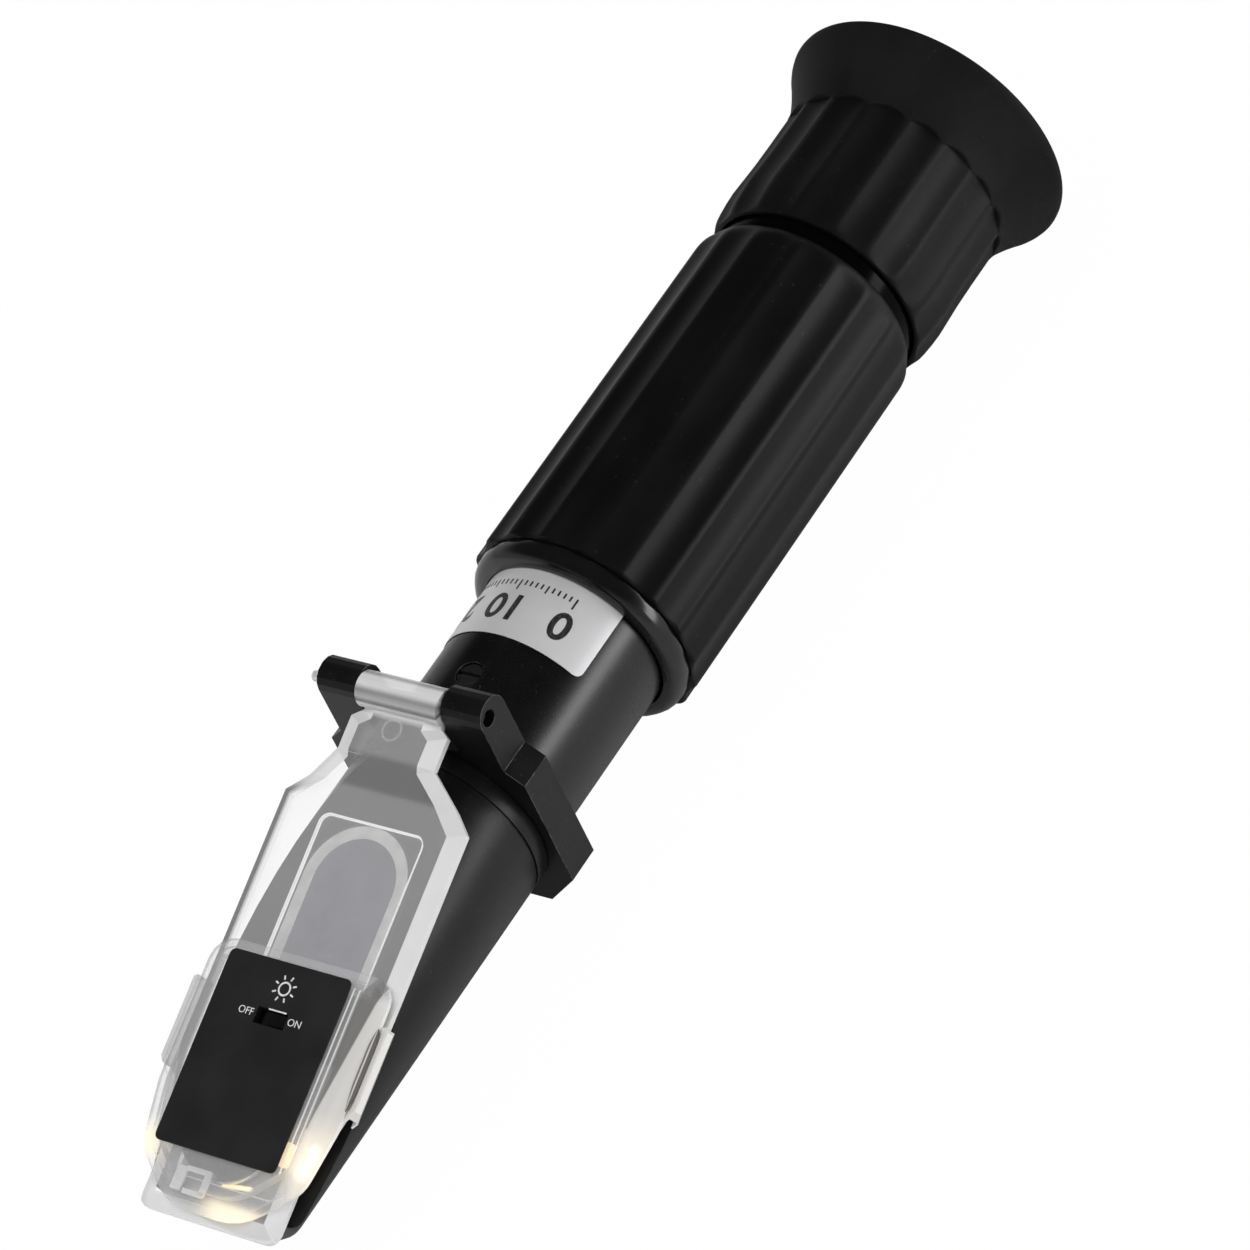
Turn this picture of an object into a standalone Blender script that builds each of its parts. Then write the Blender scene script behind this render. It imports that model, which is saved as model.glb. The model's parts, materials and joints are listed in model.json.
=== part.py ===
"""A hand-held brix refractometer with a light box clipped over its daylight plate.

All sizes are in metres, +Z is up and +X points to the eyepiece. The origin lies under the middle
of the instrument, on the level of the eyecup's lowest point. A station is a distance along the
optical axis from the lower tip of the prism body towards the eye. On the daylight plate a reach is
a distance from the hinge pin down the plate, and a rise is a height over the pin along the plate's
normal, so that most rises are negative.
"""
import math

import bmesh
import bpy
from mathutils import Matrix, Vector

# Shared gaps and mesh fineness
SEAM = 0.00015
SLEEVE_GAP = 0.0003
RUNNING_GAP = 0.00008
OVERRUN = 0.002
MERGE = 0.000001
FLAT_ANGLE = math.radians(0.1)
ROUND_STEPS = 48
SMALL_STEPS = 24
CORNER_STEPS = 4

# Prism body
BODY_RADIUS = 0.0134
BODY_TIP_ROUNDING = 0.0012
BODY_GROOVE_BACK = 0.0022
BODY_GROOVE_WIDTH = 0.0004
BODY_GROOVE_DEPTH = 0.0003
BODY_BORE_RADIUS = 0.0062
BODY_SPIGOT_RADIUS = 0.0104
BODY_SPIGOT_LENGTH = 0.0024
POCKET_DEPTH = 0.0065
PRISM_HALF_WIDTH = 0.0067
PRISM_PROUD = 0.0003
SEAL_WIDTH = 0.0013
SEAL_DEPTH = 0.0020
WINDOW_NEAR_REACH = 0.0235
WINDOW_SPAN = 0.0270

# Hinge collar and its pin
COLLAR_STATION = 0.05715
COLLAR_THICKNESS = 0.0050
COLLAR_HALF_WIDTH = 0.01485
COLLAR_FOOT_DROP = 0.0137
COLLAR_CHAMFER = 0.0054
COLLAR_SIDE_TOP = 0.0092
COLLAR_STEP_TOP = 0.0112
COLLAR_SADDLE_TOP = 0.0132
COLLAR_EDGE = 0.00018
EAR_OUTER = 0.0125
EAR_INNER = 0.0064
EAR_TOP_OVER_PIN = 0.0021
PIN_BEHIND_FRONT = 0.0017
PIN_HEIGHT = 0.0190
PIN_RADIUS = 0.0007
PIN_PROUD = 0.0012
PIN_RECESS = 0.0009
PIN_COUNTERBORE_RADIUS = 0.0011
PIN_COUNTERBORE_DEPTH = 0.0014

# Main tube and what it carries
TUBE_RADIUS = 0.0124
TUBE_BORE_RADIUS = 0.0109
TUBE_SPIGOT_LENGTH = 0.0020
TUBE_SPIGOT_BORE_RADIUS = 0.0092
TUBE_SHELF_LENGTH = 0.0014
LABEL_STATION = 0.0754
LABEL_THICKNESS = 0.00012
LABEL_GAP = 0.00005
LABEL_NEAR_ANGLE = math.radians(56)
LABEL_FAR_ANGLE = math.radians(72)
LABEL_CORNER = 0.0011
LABEL_STEPS = 32
SHOULDER_STATION = 0.0860
SHOULDER_RADIUS = 0.0151
SHOULDER_ROUNDING = 0.0018
GRIP_STATION = 0.0887
GRIP_LENGTH = 0.0556
GRIP_RADIUS = 0.01595
GRIP_NECK_RADIUS = 0.0149
GRIP_EDGE = 0.0004
GRIP_FLUTES = 18
FLUTE_STEPS = 6
FLUTE_DEPTH = 0.00055
FLUTE_RIDGE_SHARE = 0.18
FLUTE_RUN_OUT = 0.0016

# Calibration screw
SCREW_STATION = 0.0690
SCREW_RADIUS = 0.0017
SCREW_LENGTH = 0.0036
SCREW_RECESS = 0.0003
SCREW_SLOT_WIDTH = 0.0005
SCREW_SLOT_DEPTH = 0.0006

# Optics inside the tube
STRIP_RING_LENGTH = 0.0022
STRIP_RING_BORE = 0.0084
STRIP_THICKNESS = 0.0005
STRIP_WIDTH = 0.0050
STRIP_LENGTH = 0.0100
CELL_STATION = 0.0667
CELL_LENGTH = 0.0052
CELL_RADIUS = 0.0082
CELL_BORE = 0.0066
LENS_EDGE = 0.0012
LENS_CROWN = 0.0009
LENS_RINGS = 4
RETICLE_STATION = 0.1180
RETICLE_THICKNESS = 0.0012
RETICLE_RING_LENGTH = 0.0024
RETICLE_RING_BORE = 0.0082

# Focusing eyepiece
GROOVE_WIDTH = 0.0023
SLEEVE_RADIUS = 0.0143
SLEEVE_LENGTH = 0.0070
BARREL_BORE = 0.0095
BARREL_INSET = 0.0180
BARREL_SETBACK = 0.0012
GUIDE_RADIUS = 0.0009
GUIDE_STATION = 0.1400
GUIDE_SLOT_LENGTH = 0.0072
FIELD_LENS_INSET = 0.0040
EYE_LENS_SETBACK = 0.0060
RETAINER_LENGTH = 0.0016
RETAINER_BORE = 0.0078
FOCUS_FRONT_RADIUS = 0.0154
FOCUS_EDGE_LENGTH = 0.0014
FOCUS_EDGE_RADIUS = 0.0158
FOCUS_BELLY_LENGTH = 0.0058
FOCUS_BELLY_RADIUS = 0.0161
FOCUS_WAIST_LENGTH = 0.0110
FOCUS_RADIUS = 0.0159
FOCUS_LENGTH = 0.0209
FOCUS_FLUTES = 18
FOCUS_PHASE = math.radians(11.2)
FOCUS_WEB_LENGTH = 0.0090
EYECUP_LENGTH = 0.0095
EYECUP_RADIUS = 0.0200
EYECUP_LIP = 0.0006
EYECUP_RIM_ROUNDING = 0.0007
EYECUP_WALL = 0.0011
EYECUP_THROAT_RADIUS = 0.0086
EYECUP_THROAT_LENGTH = 0.0012
# Shares of the flare, from the focus ring's end to the rim: along the axis, then outwards
FLARE_SHARES = ((0.15, 0.11), (0.37, 0.32), (0.58, 0.56), (0.79, 0.84), (0.90, 0.97))

# Daylight plate
COVER_SLOPE = math.radians(19.7)
PLATE_REACH = 0.0671
PLATE_TOP_RISE = -0.0021
PLATE_UNDER_RISE = -0.0036
PLATE_BORDER_WIDTH = 0.0021
PLATE_BORDER_DROP = 0.00075
PLATE_HALF_WIDTH = 0.01385
PLATE_END_HALF_WIDTH = 0.0105
PLATE_END_CORNER = 0.0016
PLATE_SHOULDER_REACH = 0.0138
PLATE_TAPER_REACH = 0.0467
PLATE_TAPER_LENGTH = 0.0125
NECK_HALF_WIDTH = 0.00735
NECK_WAIST_HALF_WIDTH = 0.0059
NECK_WAIST_REACH = 0.0024
NECK_WIDE_REACH = 0.0034
NECK_CREASE_REACH = 0.0077
PLATE_CREASE_REACH = 0.0114
NECK_RISE = 0.0020
BARREL_HINGE_RADIUS = 0.0023
BARREL_HINGE_GAP = 0.00025
PAD_HALF_WIDTH = 0.0078
PAD_NEAR_REACH = 0.0152
PAD_FAR_REACH = 0.0620
PAD_THICKNESS = 0.0004
PAD_CORNER = 0.0013
PAD_GAP = 0.0003

# Light box
BOX_NEAR_REACH = 0.0333
BOX_HALF_WIDTH = 0.0137
BOX_CORNER = 0.0032
BOX_TAPER_REACH = 0.0520
BOX_TAPER_RADIUS = 0.0100
BOX_BEND_REACH = 0.0602
BOX_BEND_HALF_WIDTH = 0.0123
BOX_BEND_RADIUS = 0.0045
BOX_END_REACH = 0.0663
BOX_END_HALF_WIDTH = 0.0056
BOX_END_RADIUS = 0.0090
BOX_HEIGHT = 0.00265
BOX_SHOULDER_WIDTH = 0.0025
BOX_SHOULDER_DROP = 0.0021
BOX_WALL = 0.0010
BOX_ROOF = 0.0006
BASE_THICKNESS = 0.0004
WING_INSET = 0.0055
WING_LENGTH = 0.0125
WING_RAMP = 0.0022
WING_RAMP_INSET = 0.0016
WING_OUTER = 0.0149
WING_WALL = 0.00075
WING_ROOT = 0.0123
WING_TOP_RISE = -0.0015
WING_EDGE = 0.00015
WING_WEB_THICKNESS = 0.0003
WING_WEB_DROP = 0.0002
WING_LIP_THICKNESS = 0.0004
WING_LIP_INNER = 0.0136
WING_LIP_OUTER = 0.0141
WING_BELLY_DROP = 0.0014
STICKER_INSET = 0.0016
STICKER_LENGTH = 0.0246
STICKER_HALF_WIDTH = 0.00925
STICKER_CORNER = 0.0008
STICKER_THICKNESS = 0.00015
STICKER_GAP = 0.00005
SWITCH_INSET = 0.0070
SWITCH_SLOT_WIDTH = 0.0018
SWITCH_SLOT_LENGTH = 0.0043
SWITCH_SLOT_CENTRE = -0.0001
SWITCH_KNOB_LENGTH = 0.0028
SWITCH_GAP = 0.0001
SWITCH_FOOT_HEIGHT = 0.0004
SWITCH_RECESS = 0.0001
BOARD_THICKNESS = 0.0004
BOARD_GAP = 0.0006
BOARD_BEYOND_SWITCH = 0.0031
BOARD_HALF_WIDTH = 0.0100
COIN_RADIUS = 0.0077
COIN_THICKNESS = 0.0010
COIN_BOARD_GAP = 0.0018
COIN_GAP = 0.0001
CONTACT_WIDTH = 0.0030
CONTACT_THICKNESS = 0.0002
CONTACT_SWITCH_GAP = 0.0005
LED_SIZE = 0.0013
LED_LENGTH = 0.0030
LED_BEYOND_COIN = 0.0030
LED_SIDE = 0.0086

# Places worked out from the sizes above
COLLAR_END_STATION = COLLAR_STATION + COLLAR_THICKNESS
PIN_STATION = COLLAR_STATION + PIN_BEHIND_FRONT
TUBE_STATION = COLLAR_END_STATION + SEAM
TUBE_SHELF_STATION = TUBE_STATION + TUBE_SHELF_LENGTH
GRIP_END_STATION = GRIP_STATION + GRIP_LENGTH
FOCUS_STATION = GRIP_END_STATION + GROOVE_WIDTH
FOCUS_END_STATION = FOCUS_STATION + FOCUS_LENGTH
EYECUP_END_STATION = FOCUS_END_STATION + EYECUP_LENGTH
SLEEVE_STATION = GRIP_END_STATION + SEAM
TUBE_END_STATION = SLEEVE_STATION + SLEEVE_LENGTH
BARREL_STATION = TUBE_END_STATION - BARREL_INSET
BARREL_END_STATION = FOCUS_END_STATION - BARREL_SETBACK
BARREL_RADIUS = TUBE_BORE_RADIUS - RUNNING_GAP
SAMPLE_RISE = PLATE_UNDER_RISE - PAD_THICKNESS - PAD_GAP
CUT_RISE = SAMPLE_RISE - PRISM_PROUD
BOX_BOTTOM_RISE = PLATE_TOP_RISE + SEAM
BOX_TOP_RISE = BOX_BOTTOM_RISE + BOX_HEIGHT
BOX_CEILING_RISE = BOX_TOP_RISE - BOX_ROOF
BASE_TOP_RISE = BOX_BOTTOM_RISE + BASE_THICKNESS
WING_NEAR_REACH = BOX_NEAR_REACH + WING_INSET
STICKER_REACH = BOX_NEAR_REACH + STICKER_INSET
SWITCH_REACH = STICKER_REACH + SWITCH_INSET
BOARD_NEAR_REACH = BOX_NEAR_REACH + BOX_SHOULDER_WIDTH + BOARD_GAP
BOARD_FAR_REACH = SWITCH_REACH + BOARD_BEYOND_SWITCH
COIN_REACH = BOARD_FAR_REACH + COIN_BOARD_GAP + COIN_RADIUS
LED_REACH = COIN_REACH + LED_BEYOND_COIN
AXIS_HEIGHT = EYECUP_RADIUS


def along_plate(reach, rise):
    """Station and height over the axis of a point given by its reach and rise on the plate."""
    station = PIN_STATION - reach * math.cos(COVER_SLOPE) - rise * math.sin(COVER_SLOPE)
    height = PIN_HEIGHT - reach * math.sin(COVER_SLOPE) + rise * math.cos(COVER_SLOPE)
    return station, height


LOWEST_STATION = along_plate(PLATE_REACH, PLATE_TOP_RISE - PLATE_BORDER_DROP)[0]
MID_STATION = (LOWEST_STATION + EYECUP_END_STATION) / 2


def clear_scene():
    for item in list(bpy.data.objects):
        bpy.data.objects.remove(item, do_unlink=True)


def new_collection(name):
    collection = bpy.data.collections.new(name)
    bpy.context.scene.collection.children.link(collection)
    return collection


def surface(name, colour, roughness, metallic=0.0, alpha=1.0):
    material = bpy.data.materials.new(name)
    material.use_nodes = True
    shader = material.node_tree.nodes["Principled BSDF"]
    shader.inputs["Base Color"].default_value = (*colour, 1.0)
    shader.inputs["Roughness"].default_value = roughness
    shader.inputs["Metallic"].default_value = metallic
    shader.inputs["Alpha"].default_value = alpha
    return material


clear_scene()
PARTS = new_collection("brix_refractometer")
CUTTERS = new_collection("cutters")
ANODISED = surface("black_anodised", (0.02, 0.02, 0.022), 0.35, 0.6)
GLOSS_BLACK = surface("gloss_black", (0.01, 0.01, 0.01), 0.15)
RUBBER = surface("black_rubber", (0.015, 0.015, 0.016), 0.6)
STEEL = surface("bright_steel", (0.6, 0.6, 0.6), 0.25, 1.0)
SILVER = surface("silver_label", (0.7, 0.7, 0.72), 0.4, 0.4)
GLASS = surface("optical_glass", (0.75, 0.77, 0.82), 0.03, 0.0, 0.4)
SEALANT = surface("grey_sealant", (0.5, 0.5, 0.5), 0.5)
FROSTED = surface("frosted_clear", (0.85, 0.85, 0.85), 0.3, 0.0, 0.5)
STICKER_BLACK = surface("black_sticker", (0.015, 0.015, 0.015), 0.45)
BRASS = surface("bimetal", (0.55, 0.42, 0.2), 0.35, 1.0)
BOARD_GREEN = surface("board_green", (0.05, 0.2, 0.08), 0.5)
LED_WARM = surface("warm_led", (1.0, 0.75, 0.35), 0.3)


def empty(name, location, parent=None, rotation=(0, 0, 0)):
    item = bpy.data.objects.new(name, None)
    item.location = location
    item.rotation_euler = rotation
    item.parent = parent
    PARTS.objects.link(item)
    return item


AXIS = empty("optical_axis", (-MID_STATION, 0, AXIS_HEIGHT))
HINGE = empty("cover_hinge", (PIN_STATION, 0, PIN_HEIGHT), AXIS, (0, -COVER_SLOPE, 0))
ALONG_AXIS = (0, math.radians(90), 0)


def add_object(name, mesh, material, parent=AXIS, location=(0, 0, 0), rotation=(0, 0, 0)):
    item = bpy.data.objects.new(name, mesh)
    if material is None:
        CUTTERS.objects.link(item)
        item.hide_render = True
        item.display_type = "WIRE"
    else:
        PARTS.objects.link(item)
        mesh.materials.append(material)
    item.parent = parent
    item.location = location
    item.rotation_euler = rotation
    return item


def turned(name, profile, material, steps=ROUND_STEPS, parent=AXIS):
    """A body of revolution about the optical axis, from (station, radius) points.

    The points run down the outer side from the eye end, and a ring's go back up its inner side.
    """
    mesh = bpy.data.meshes.new(name)
    solid = profile[0][1] == 0
    count = len(profile)
    edges = [(i, (i + 1) % count) for i in range(count - 1 if solid else count)]
    mesh.from_pydata([(radius, 0, station) for station, radius in profile], edges, [])
    item = add_object(name, mesh, material, parent, rotation=ALONG_AXIS)
    screw = item.modifiers.new("Turn", "SCREW")
    screw.axis = "Z"
    screw.steps = steps
    screw.render_steps = steps
    screw.use_merge_vertices = True
    screw.merge_threshold = MERGE
    weld = item.modifiers.new("Weld", "WELD")
    weld.merge_threshold = MERGE
    return item


def rounded(corners, steps=CORNER_STEPS):
    """An outline through (x, y, radius) corners, each turned by an arc of its radius."""
    points = []
    count = len(corners)
    for i, (x, y, radius) in enumerate(corners):
        here = Vector((x, y))
        if radius == 0:
            points.append(here)
            continue
        before = (Vector(corners[i - 1][:2]) - here).normalized()
        after = (Vector(corners[(i + 1) % count][:2]) - here).normalized()
        half = before.angle(after) / 2
        start = here + before * (radius / math.tan(half))
        centre = here + (before + after).normalized() * (radius / math.sin(half))
        spoke = start - centre
        turn = math.pi - 2 * half
        if before.cross(after) > 0:
            turn = -turn
        for k in range(steps + 1):
            points.append(centre + Matrix.Rotation(turn * k / steps, 2) @ spoke)
    return [(p.x, p.y) for p in points]


def mirrored(half):
    """A whole outline from the corners of its +Y half."""
    return half + [(x, -y, radius) for x, y, radius in reversed(half) if y != 0]


def slab(name, outline, low, high, material, parent=AXIS, location=(0, 0, 0), rotation=(0, 0, 0)):
    """A flat outline extruded from one height to another along its normal."""
    curve = bpy.data.curves.new(name, "CURVE")
    curve.dimensions = "2D"
    curve.fill_mode = "BOTH"
    curve.extrude = (high - low) / 2
    spline = curve.splines.new("POLY")
    spline.points.add(len(outline) - 1)
    for point, (x, y) in zip(spline.points, outline):
        point.co = (x, y, 0, 1)
    spline.use_cyclic_u = True
    drawn = bpy.data.objects.new(name, curve)
    bpy.context.scene.collection.objects.link(drawn)
    bpy.context.view_layer.update()
    mesh = bpy.data.meshes.new_from_object(drawn.evaluated_get(bpy.context.evaluated_depsgraph_get()))
    bpy.data.objects.remove(drawn, do_unlink=True)
    bpy.data.curves.remove(curve)
    mesh.name = name
    mesh.materials.clear()
    shape = bmesh.new()
    shape.from_mesh(mesh)
    bmesh.ops.remove_doubles(shape, verts=shape.verts, dist=MERGE)
    bmesh.ops.dissolve_limit(shape, angle_limit=FLAT_ANGLE, verts=shape.verts, edges=shape.edges)
    bmesh.ops.translate(shape, verts=shape.verts, vec=(0, 0, (low + high) / 2))
    bmesh.ops.recalc_face_normals(shape, faces=shape.faces)
    shape.to_mesh(mesh)
    shape.free()
    return add_object(name, mesh, material, parent, location, rotation)


def edit(item, change, *arguments):
    """Runs a change on the object's mesh through bmesh."""
    shape = bmesh.new()
    shape.from_mesh(item.data)
    change(shape, *arguments)
    shape.to_mesh(item.data)
    shape.free()


def shoulder(shape, width, drop):
    """Turns the top edge of a slab into a sloping border of this width and drop."""
    height = max(vertex.co.z for vertex in shape.verts)
    top = [face for face in shape.faces if all(vertex.co.z > height - MERGE for vertex in face.verts)]
    for vertex in {vertex for face in top for vertex in face.verts}:
        vertex.co.z -= drop
    bmesh.ops.inset_region(shape, faces=top, thickness=width, depth=0, use_even_offset=True)
    for vertex in {vertex for face in top for vertex in face.verts}:
        vertex.co.z += drop


def box(name, low, high, material, parent=AXIS, location=(0, 0, 0), rotation=(0, 0, 0)):
    shape = bmesh.new()
    bmesh.ops.create_cube(shape, size=1)
    size = [b - a for a, b in zip(low, high)]
    middle = [(a + b) / 2 for a, b in zip(low, high)]
    bmesh.ops.scale(shape, verts=shape.verts, vec=size)
    bmesh.ops.translate(shape, verts=shape.verts, vec=middle)
    mesh = bpy.data.meshes.new(name)
    shape.to_mesh(mesh)
    shape.free()
    return add_object(name, mesh, material, parent, location, rotation)


def rod(name, start, end, radius, material, parent=AXIS, steps=SMALL_STEPS):
    """A straight round rod between two points of its parent's space."""
    start = Vector(start)
    way = Vector(end) - start
    shape = bmesh.new()
    bmesh.ops.create_cone(shape, cap_ends=True, segments=steps, radius1=radius, radius2=radius,
                          depth=way.length)
    turn = way.to_track_quat("Z", "Y").to_matrix().to_4x4()
    bmesh.ops.transform(shape, matrix=Matrix.Translation(start + way / 2) @ turn, verts=shape.verts)
    mesh = bpy.data.meshes.new(name)
    shape.to_mesh(mesh)
    shape.free()
    return add_object(name, mesh, material, parent)


def combine(item, others, operation="DIFFERENCE"):
    for other in others:
        boolean = item.modifiers.new(other.name, "BOOLEAN")
        boolean.operation = operation
        boolean.solver = "EXACT"
        boolean.object = other


def window_outline(half_width):
    """The stadium of the prism window, centred across the plate, in reach and width."""
    near = -WINDOW_NEAR_REACH
    far = near - WINDOW_SPAN
    arc = [math.pi / 2 * k / CORNER_STEPS for k in range(-CORNER_STEPS, CORNER_STEPS + 1)]
    upper = [(near + half_width * math.cos(a), half_width * math.sin(a)) for a in arc]
    lower = [(far - half_width * math.cos(a), -half_width * math.sin(a)) for a in arc]
    return upper + lower


def wall_ring(name, start, end, outer, bore, material, steps=ROUND_STEPS):
    """A plain ring round the optical axis."""
    return turned(name, [(end, outer), (start, outer), (start, bore), (end, bore)], material, steps)


def fluted(name, rings, bore, flutes, material, phase=0.0):
    """A ring with concave flutes; rings holds (station, radius of the ridges, share of the depth)."""
    columns = flutes * FLUTE_STEPS
    shape = bmesh.new()

    def loop(station, radius, share):
        vertices = []
        for k in range(columns):
            place = abs((k / FLUTE_STEPS + 0.5) % 1 - 0.5) * 2
            groove = max(0, (place - FLUTE_RIDGE_SHARE) / (1 - FLUTE_RIDGE_SHARE))
            depth = FLUTE_DEPTH * share * math.sin(math.pi / 2 * min(1, groove))
            angle = 2 * math.pi * k / columns + phase
            reach = radius - depth
            vertices.append(shape.verts.new((station, reach * math.sin(angle), reach * math.cos(angle))))
        return vertices

    loops = [loop(*ring) for ring in rings]
    loops += [loop(rings[-1][0], bore, 0), loop(rings[0][0], bore, 0)]
    for i, lower in enumerate(loops):
        upper = loops[(i + 1) % len(loops)]
        for k in range(columns):
            j = (k + 1) % columns
            shape.faces.new((lower[k], lower[j], upper[j], upper[k]))
    bmesh.ops.recalc_face_normals(shape, faces=shape.faces)
    mesh = bpy.data.meshes.new(name)
    shape.to_mesh(mesh)
    shape.free()
    return add_object(name, mesh, material)


def lens(name, start, radius, material):
    """A lens with a flat front face and a crowned face towards the eye."""
    crown = []
    for k in range(LENS_RINGS + 1):
        share = k / LENS_RINGS
        crown.append((start + LENS_EDGE + LENS_CROWN * (1 - share ** 2), radius * share))
    return turned(name, crown + [(start, radius), (start, 0)], material)


def above_cut(name, rise, material=None):
    """A block over the whole body above this rise on the plate's slope."""
    low = (-PLATE_REACH - OVERRUN, -BODY_RADIUS - OVERRUN, rise)
    high = (PIN_HEIGHT, BODY_RADIUS + OVERRUN, PIN_HEIGHT + OVERRUN)
    return box(name, low, high, material, HINGE)


def make_prism_body():
    end = COLLAR_STATION - SEAM
    spigot = end + BODY_SPIGOT_LENGTH
    groove = end - BODY_GROOVE_BACK
    profile = [(spigot, 0), (spigot, BODY_SPIGOT_RADIUS), (end, BODY_SPIGOT_RADIUS), (end, BODY_RADIUS),
               (groove, BODY_RADIUS), (groove, BODY_RADIUS - BODY_GROOVE_DEPTH),
               (groove - BODY_GROOVE_WIDTH, BODY_RADIUS - BODY_GROOVE_DEPTH),
               (groove - BODY_GROOVE_WIDTH, BODY_RADIUS)]
    for k in range(CORNER_STEPS + 1):
        angle = math.pi / 2 * k / CORNER_STEPS
        profile.append((BODY_TIP_ROUNDING * (1 - math.sin(angle)),
                        BODY_RADIUS - BODY_TIP_ROUNDING * (1 - math.cos(angle))))
    profile.append((0, 0))
    body = turned("prism_body", profile, ANODISED)
    bore_start = along_plate(WINDOW_NEAR_REACH + WINDOW_SPAN / 2, CUT_RISE)[0]
    bore = turned("body_bore_cut", [(spigot + OVERRUN, 0), (spigot + OVERRUN, BODY_BORE_RADIUS),
                                    (bore_start, BODY_BORE_RADIUS), (bore_start, 0)], None)
    pocket = slab("body_pocket_cut", window_outline(PRISM_HALF_WIDTH + SEAL_WIDTH),
                  CUT_RISE - POCKET_DEPTH, CUT_RISE + OVERRUN, None, HINGE)
    combine(body, [above_cut("body_slope_cut", CUT_RISE), pocket, bore])
    return body


def make_prism():
    prism = slab("measuring_prism", window_outline(PRISM_HALF_WIDTH), CUT_RISE - POCKET_DEPTH + SEAM,
                 SAMPLE_RISE, GLASS, HINGE)
    exit_station = along_plate(WINDOW_NEAR_REACH - PRISM_HALF_WIDTH, SAMPLE_RISE)[0]
    exit_cut = box("prism_exit_cut", (exit_station, -BODY_RADIUS, -BODY_RADIUS),
                   (COLLAR_STATION, BODY_RADIUS, BODY_RADIUS * 2), None)
    combine(prism, [exit_cut])
    inner = PRISM_HALF_WIDTH + SEAM
    outer = PRISM_HALF_WIDTH + SEAL_WIDTH - SEAM
    top = SAMPLE_RISE - SEAM
    seal = slab("prism_seal", window_outline(outer), top - SEAL_DEPTH, top, SEALANT, HINGE)
    hole = slab("seal_hole_cut", window_outline(inner), top - SEAL_DEPTH - OVERRUN, top + OVERRUN, None, HINGE)
    combine(seal, [hole])


def make_collar():
    back = COLLAR_END_STATION
    ear_top = PIN_HEIGHT + EAR_TOP_OVER_PIN
    half = [(-ear_top, EAR_OUTER, 0), (-COLLAR_STEP_TOP, EAR_OUTER, 0),
            (-COLLAR_SIDE_TOP, COLLAR_HALF_WIDTH, 0),
            (COLLAR_FOOT_DROP - COLLAR_CHAMFER, COLLAR_HALF_WIDTH, 0),
            (COLLAR_FOOT_DROP, COLLAR_HALF_WIDTH - COLLAR_CHAMFER, 0)]
    notch = [(-ear_top, -EAR_OUTER, 0), (-ear_top, -EAR_INNER, 0), (-COLLAR_SADDLE_TOP, -EAR_INNER, 0),
             (-COLLAR_SADDLE_TOP, EAR_INNER, 0), (-ear_top, EAR_INNER, 0)]
    lower = [(x, -y, r) for x, y, r in reversed(half[1:])]
    outline = rounded(half + lower + notch)
    collar = slab("hinge_collar", outline, COLLAR_STATION, back, ANODISED, rotation=ALONG_AXIS)
    bore = wall_ring_cut("collar_bore_cut", COLLAR_STATION - OVERRUN, back + OVERRUN,
                         BODY_SPIGOT_RADIUS + SEAM)
    top_round = COLLAR_THICKNESS / 2 - COLLAR_EDGE
    side = [(COLLAR_STATION, -COLLAR_FOOT_DROP - OVERRUN, 0), (back, -COLLAR_FOOT_DROP - OVERRUN, 0),
            (back, ear_top, top_round), (COLLAR_STATION, ear_top, top_round)]
    keep = slab("collar_round_keep", rounded(side), -COLLAR_HALF_WIDTH - OVERRUN,
                COLLAR_HALF_WIDTH + OVERRUN, None, rotation=(math.radians(90), 0, 0))
    pin_hole = rod("collar_pin_cut", (PIN_STATION, -EAR_OUTER - OVERRUN, PIN_HEIGHT),
                   (PIN_STATION, EAR_OUTER + OVERRUN, PIN_HEIGHT), PIN_RADIUS + RUNNING_GAP, None)
    sink = rod("collar_sink_cut", (PIN_STATION, -EAR_OUTER - OVERRUN, PIN_HEIGHT),
               (PIN_STATION, -EAR_OUTER + PIN_COUNTERBORE_DEPTH, PIN_HEIGHT), PIN_COUNTERBORE_RADIUS, None)
    combine(collar, [keep], "INTERSECT")
    combine(collar, [bore, pin_hole, sink])
    rod("hinge_pin", (PIN_STATION, -EAR_OUTER + PIN_RECESS, PIN_HEIGHT),
        (PIN_STATION, EAR_OUTER + PIN_PROUD, PIN_HEIGHT), PIN_RADIUS, STEEL)


def wall_ring_cut(name, start, end, radius):
    return turned(name, [(end, 0), (end, radius), (start, radius), (start, 0)], None)


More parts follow.
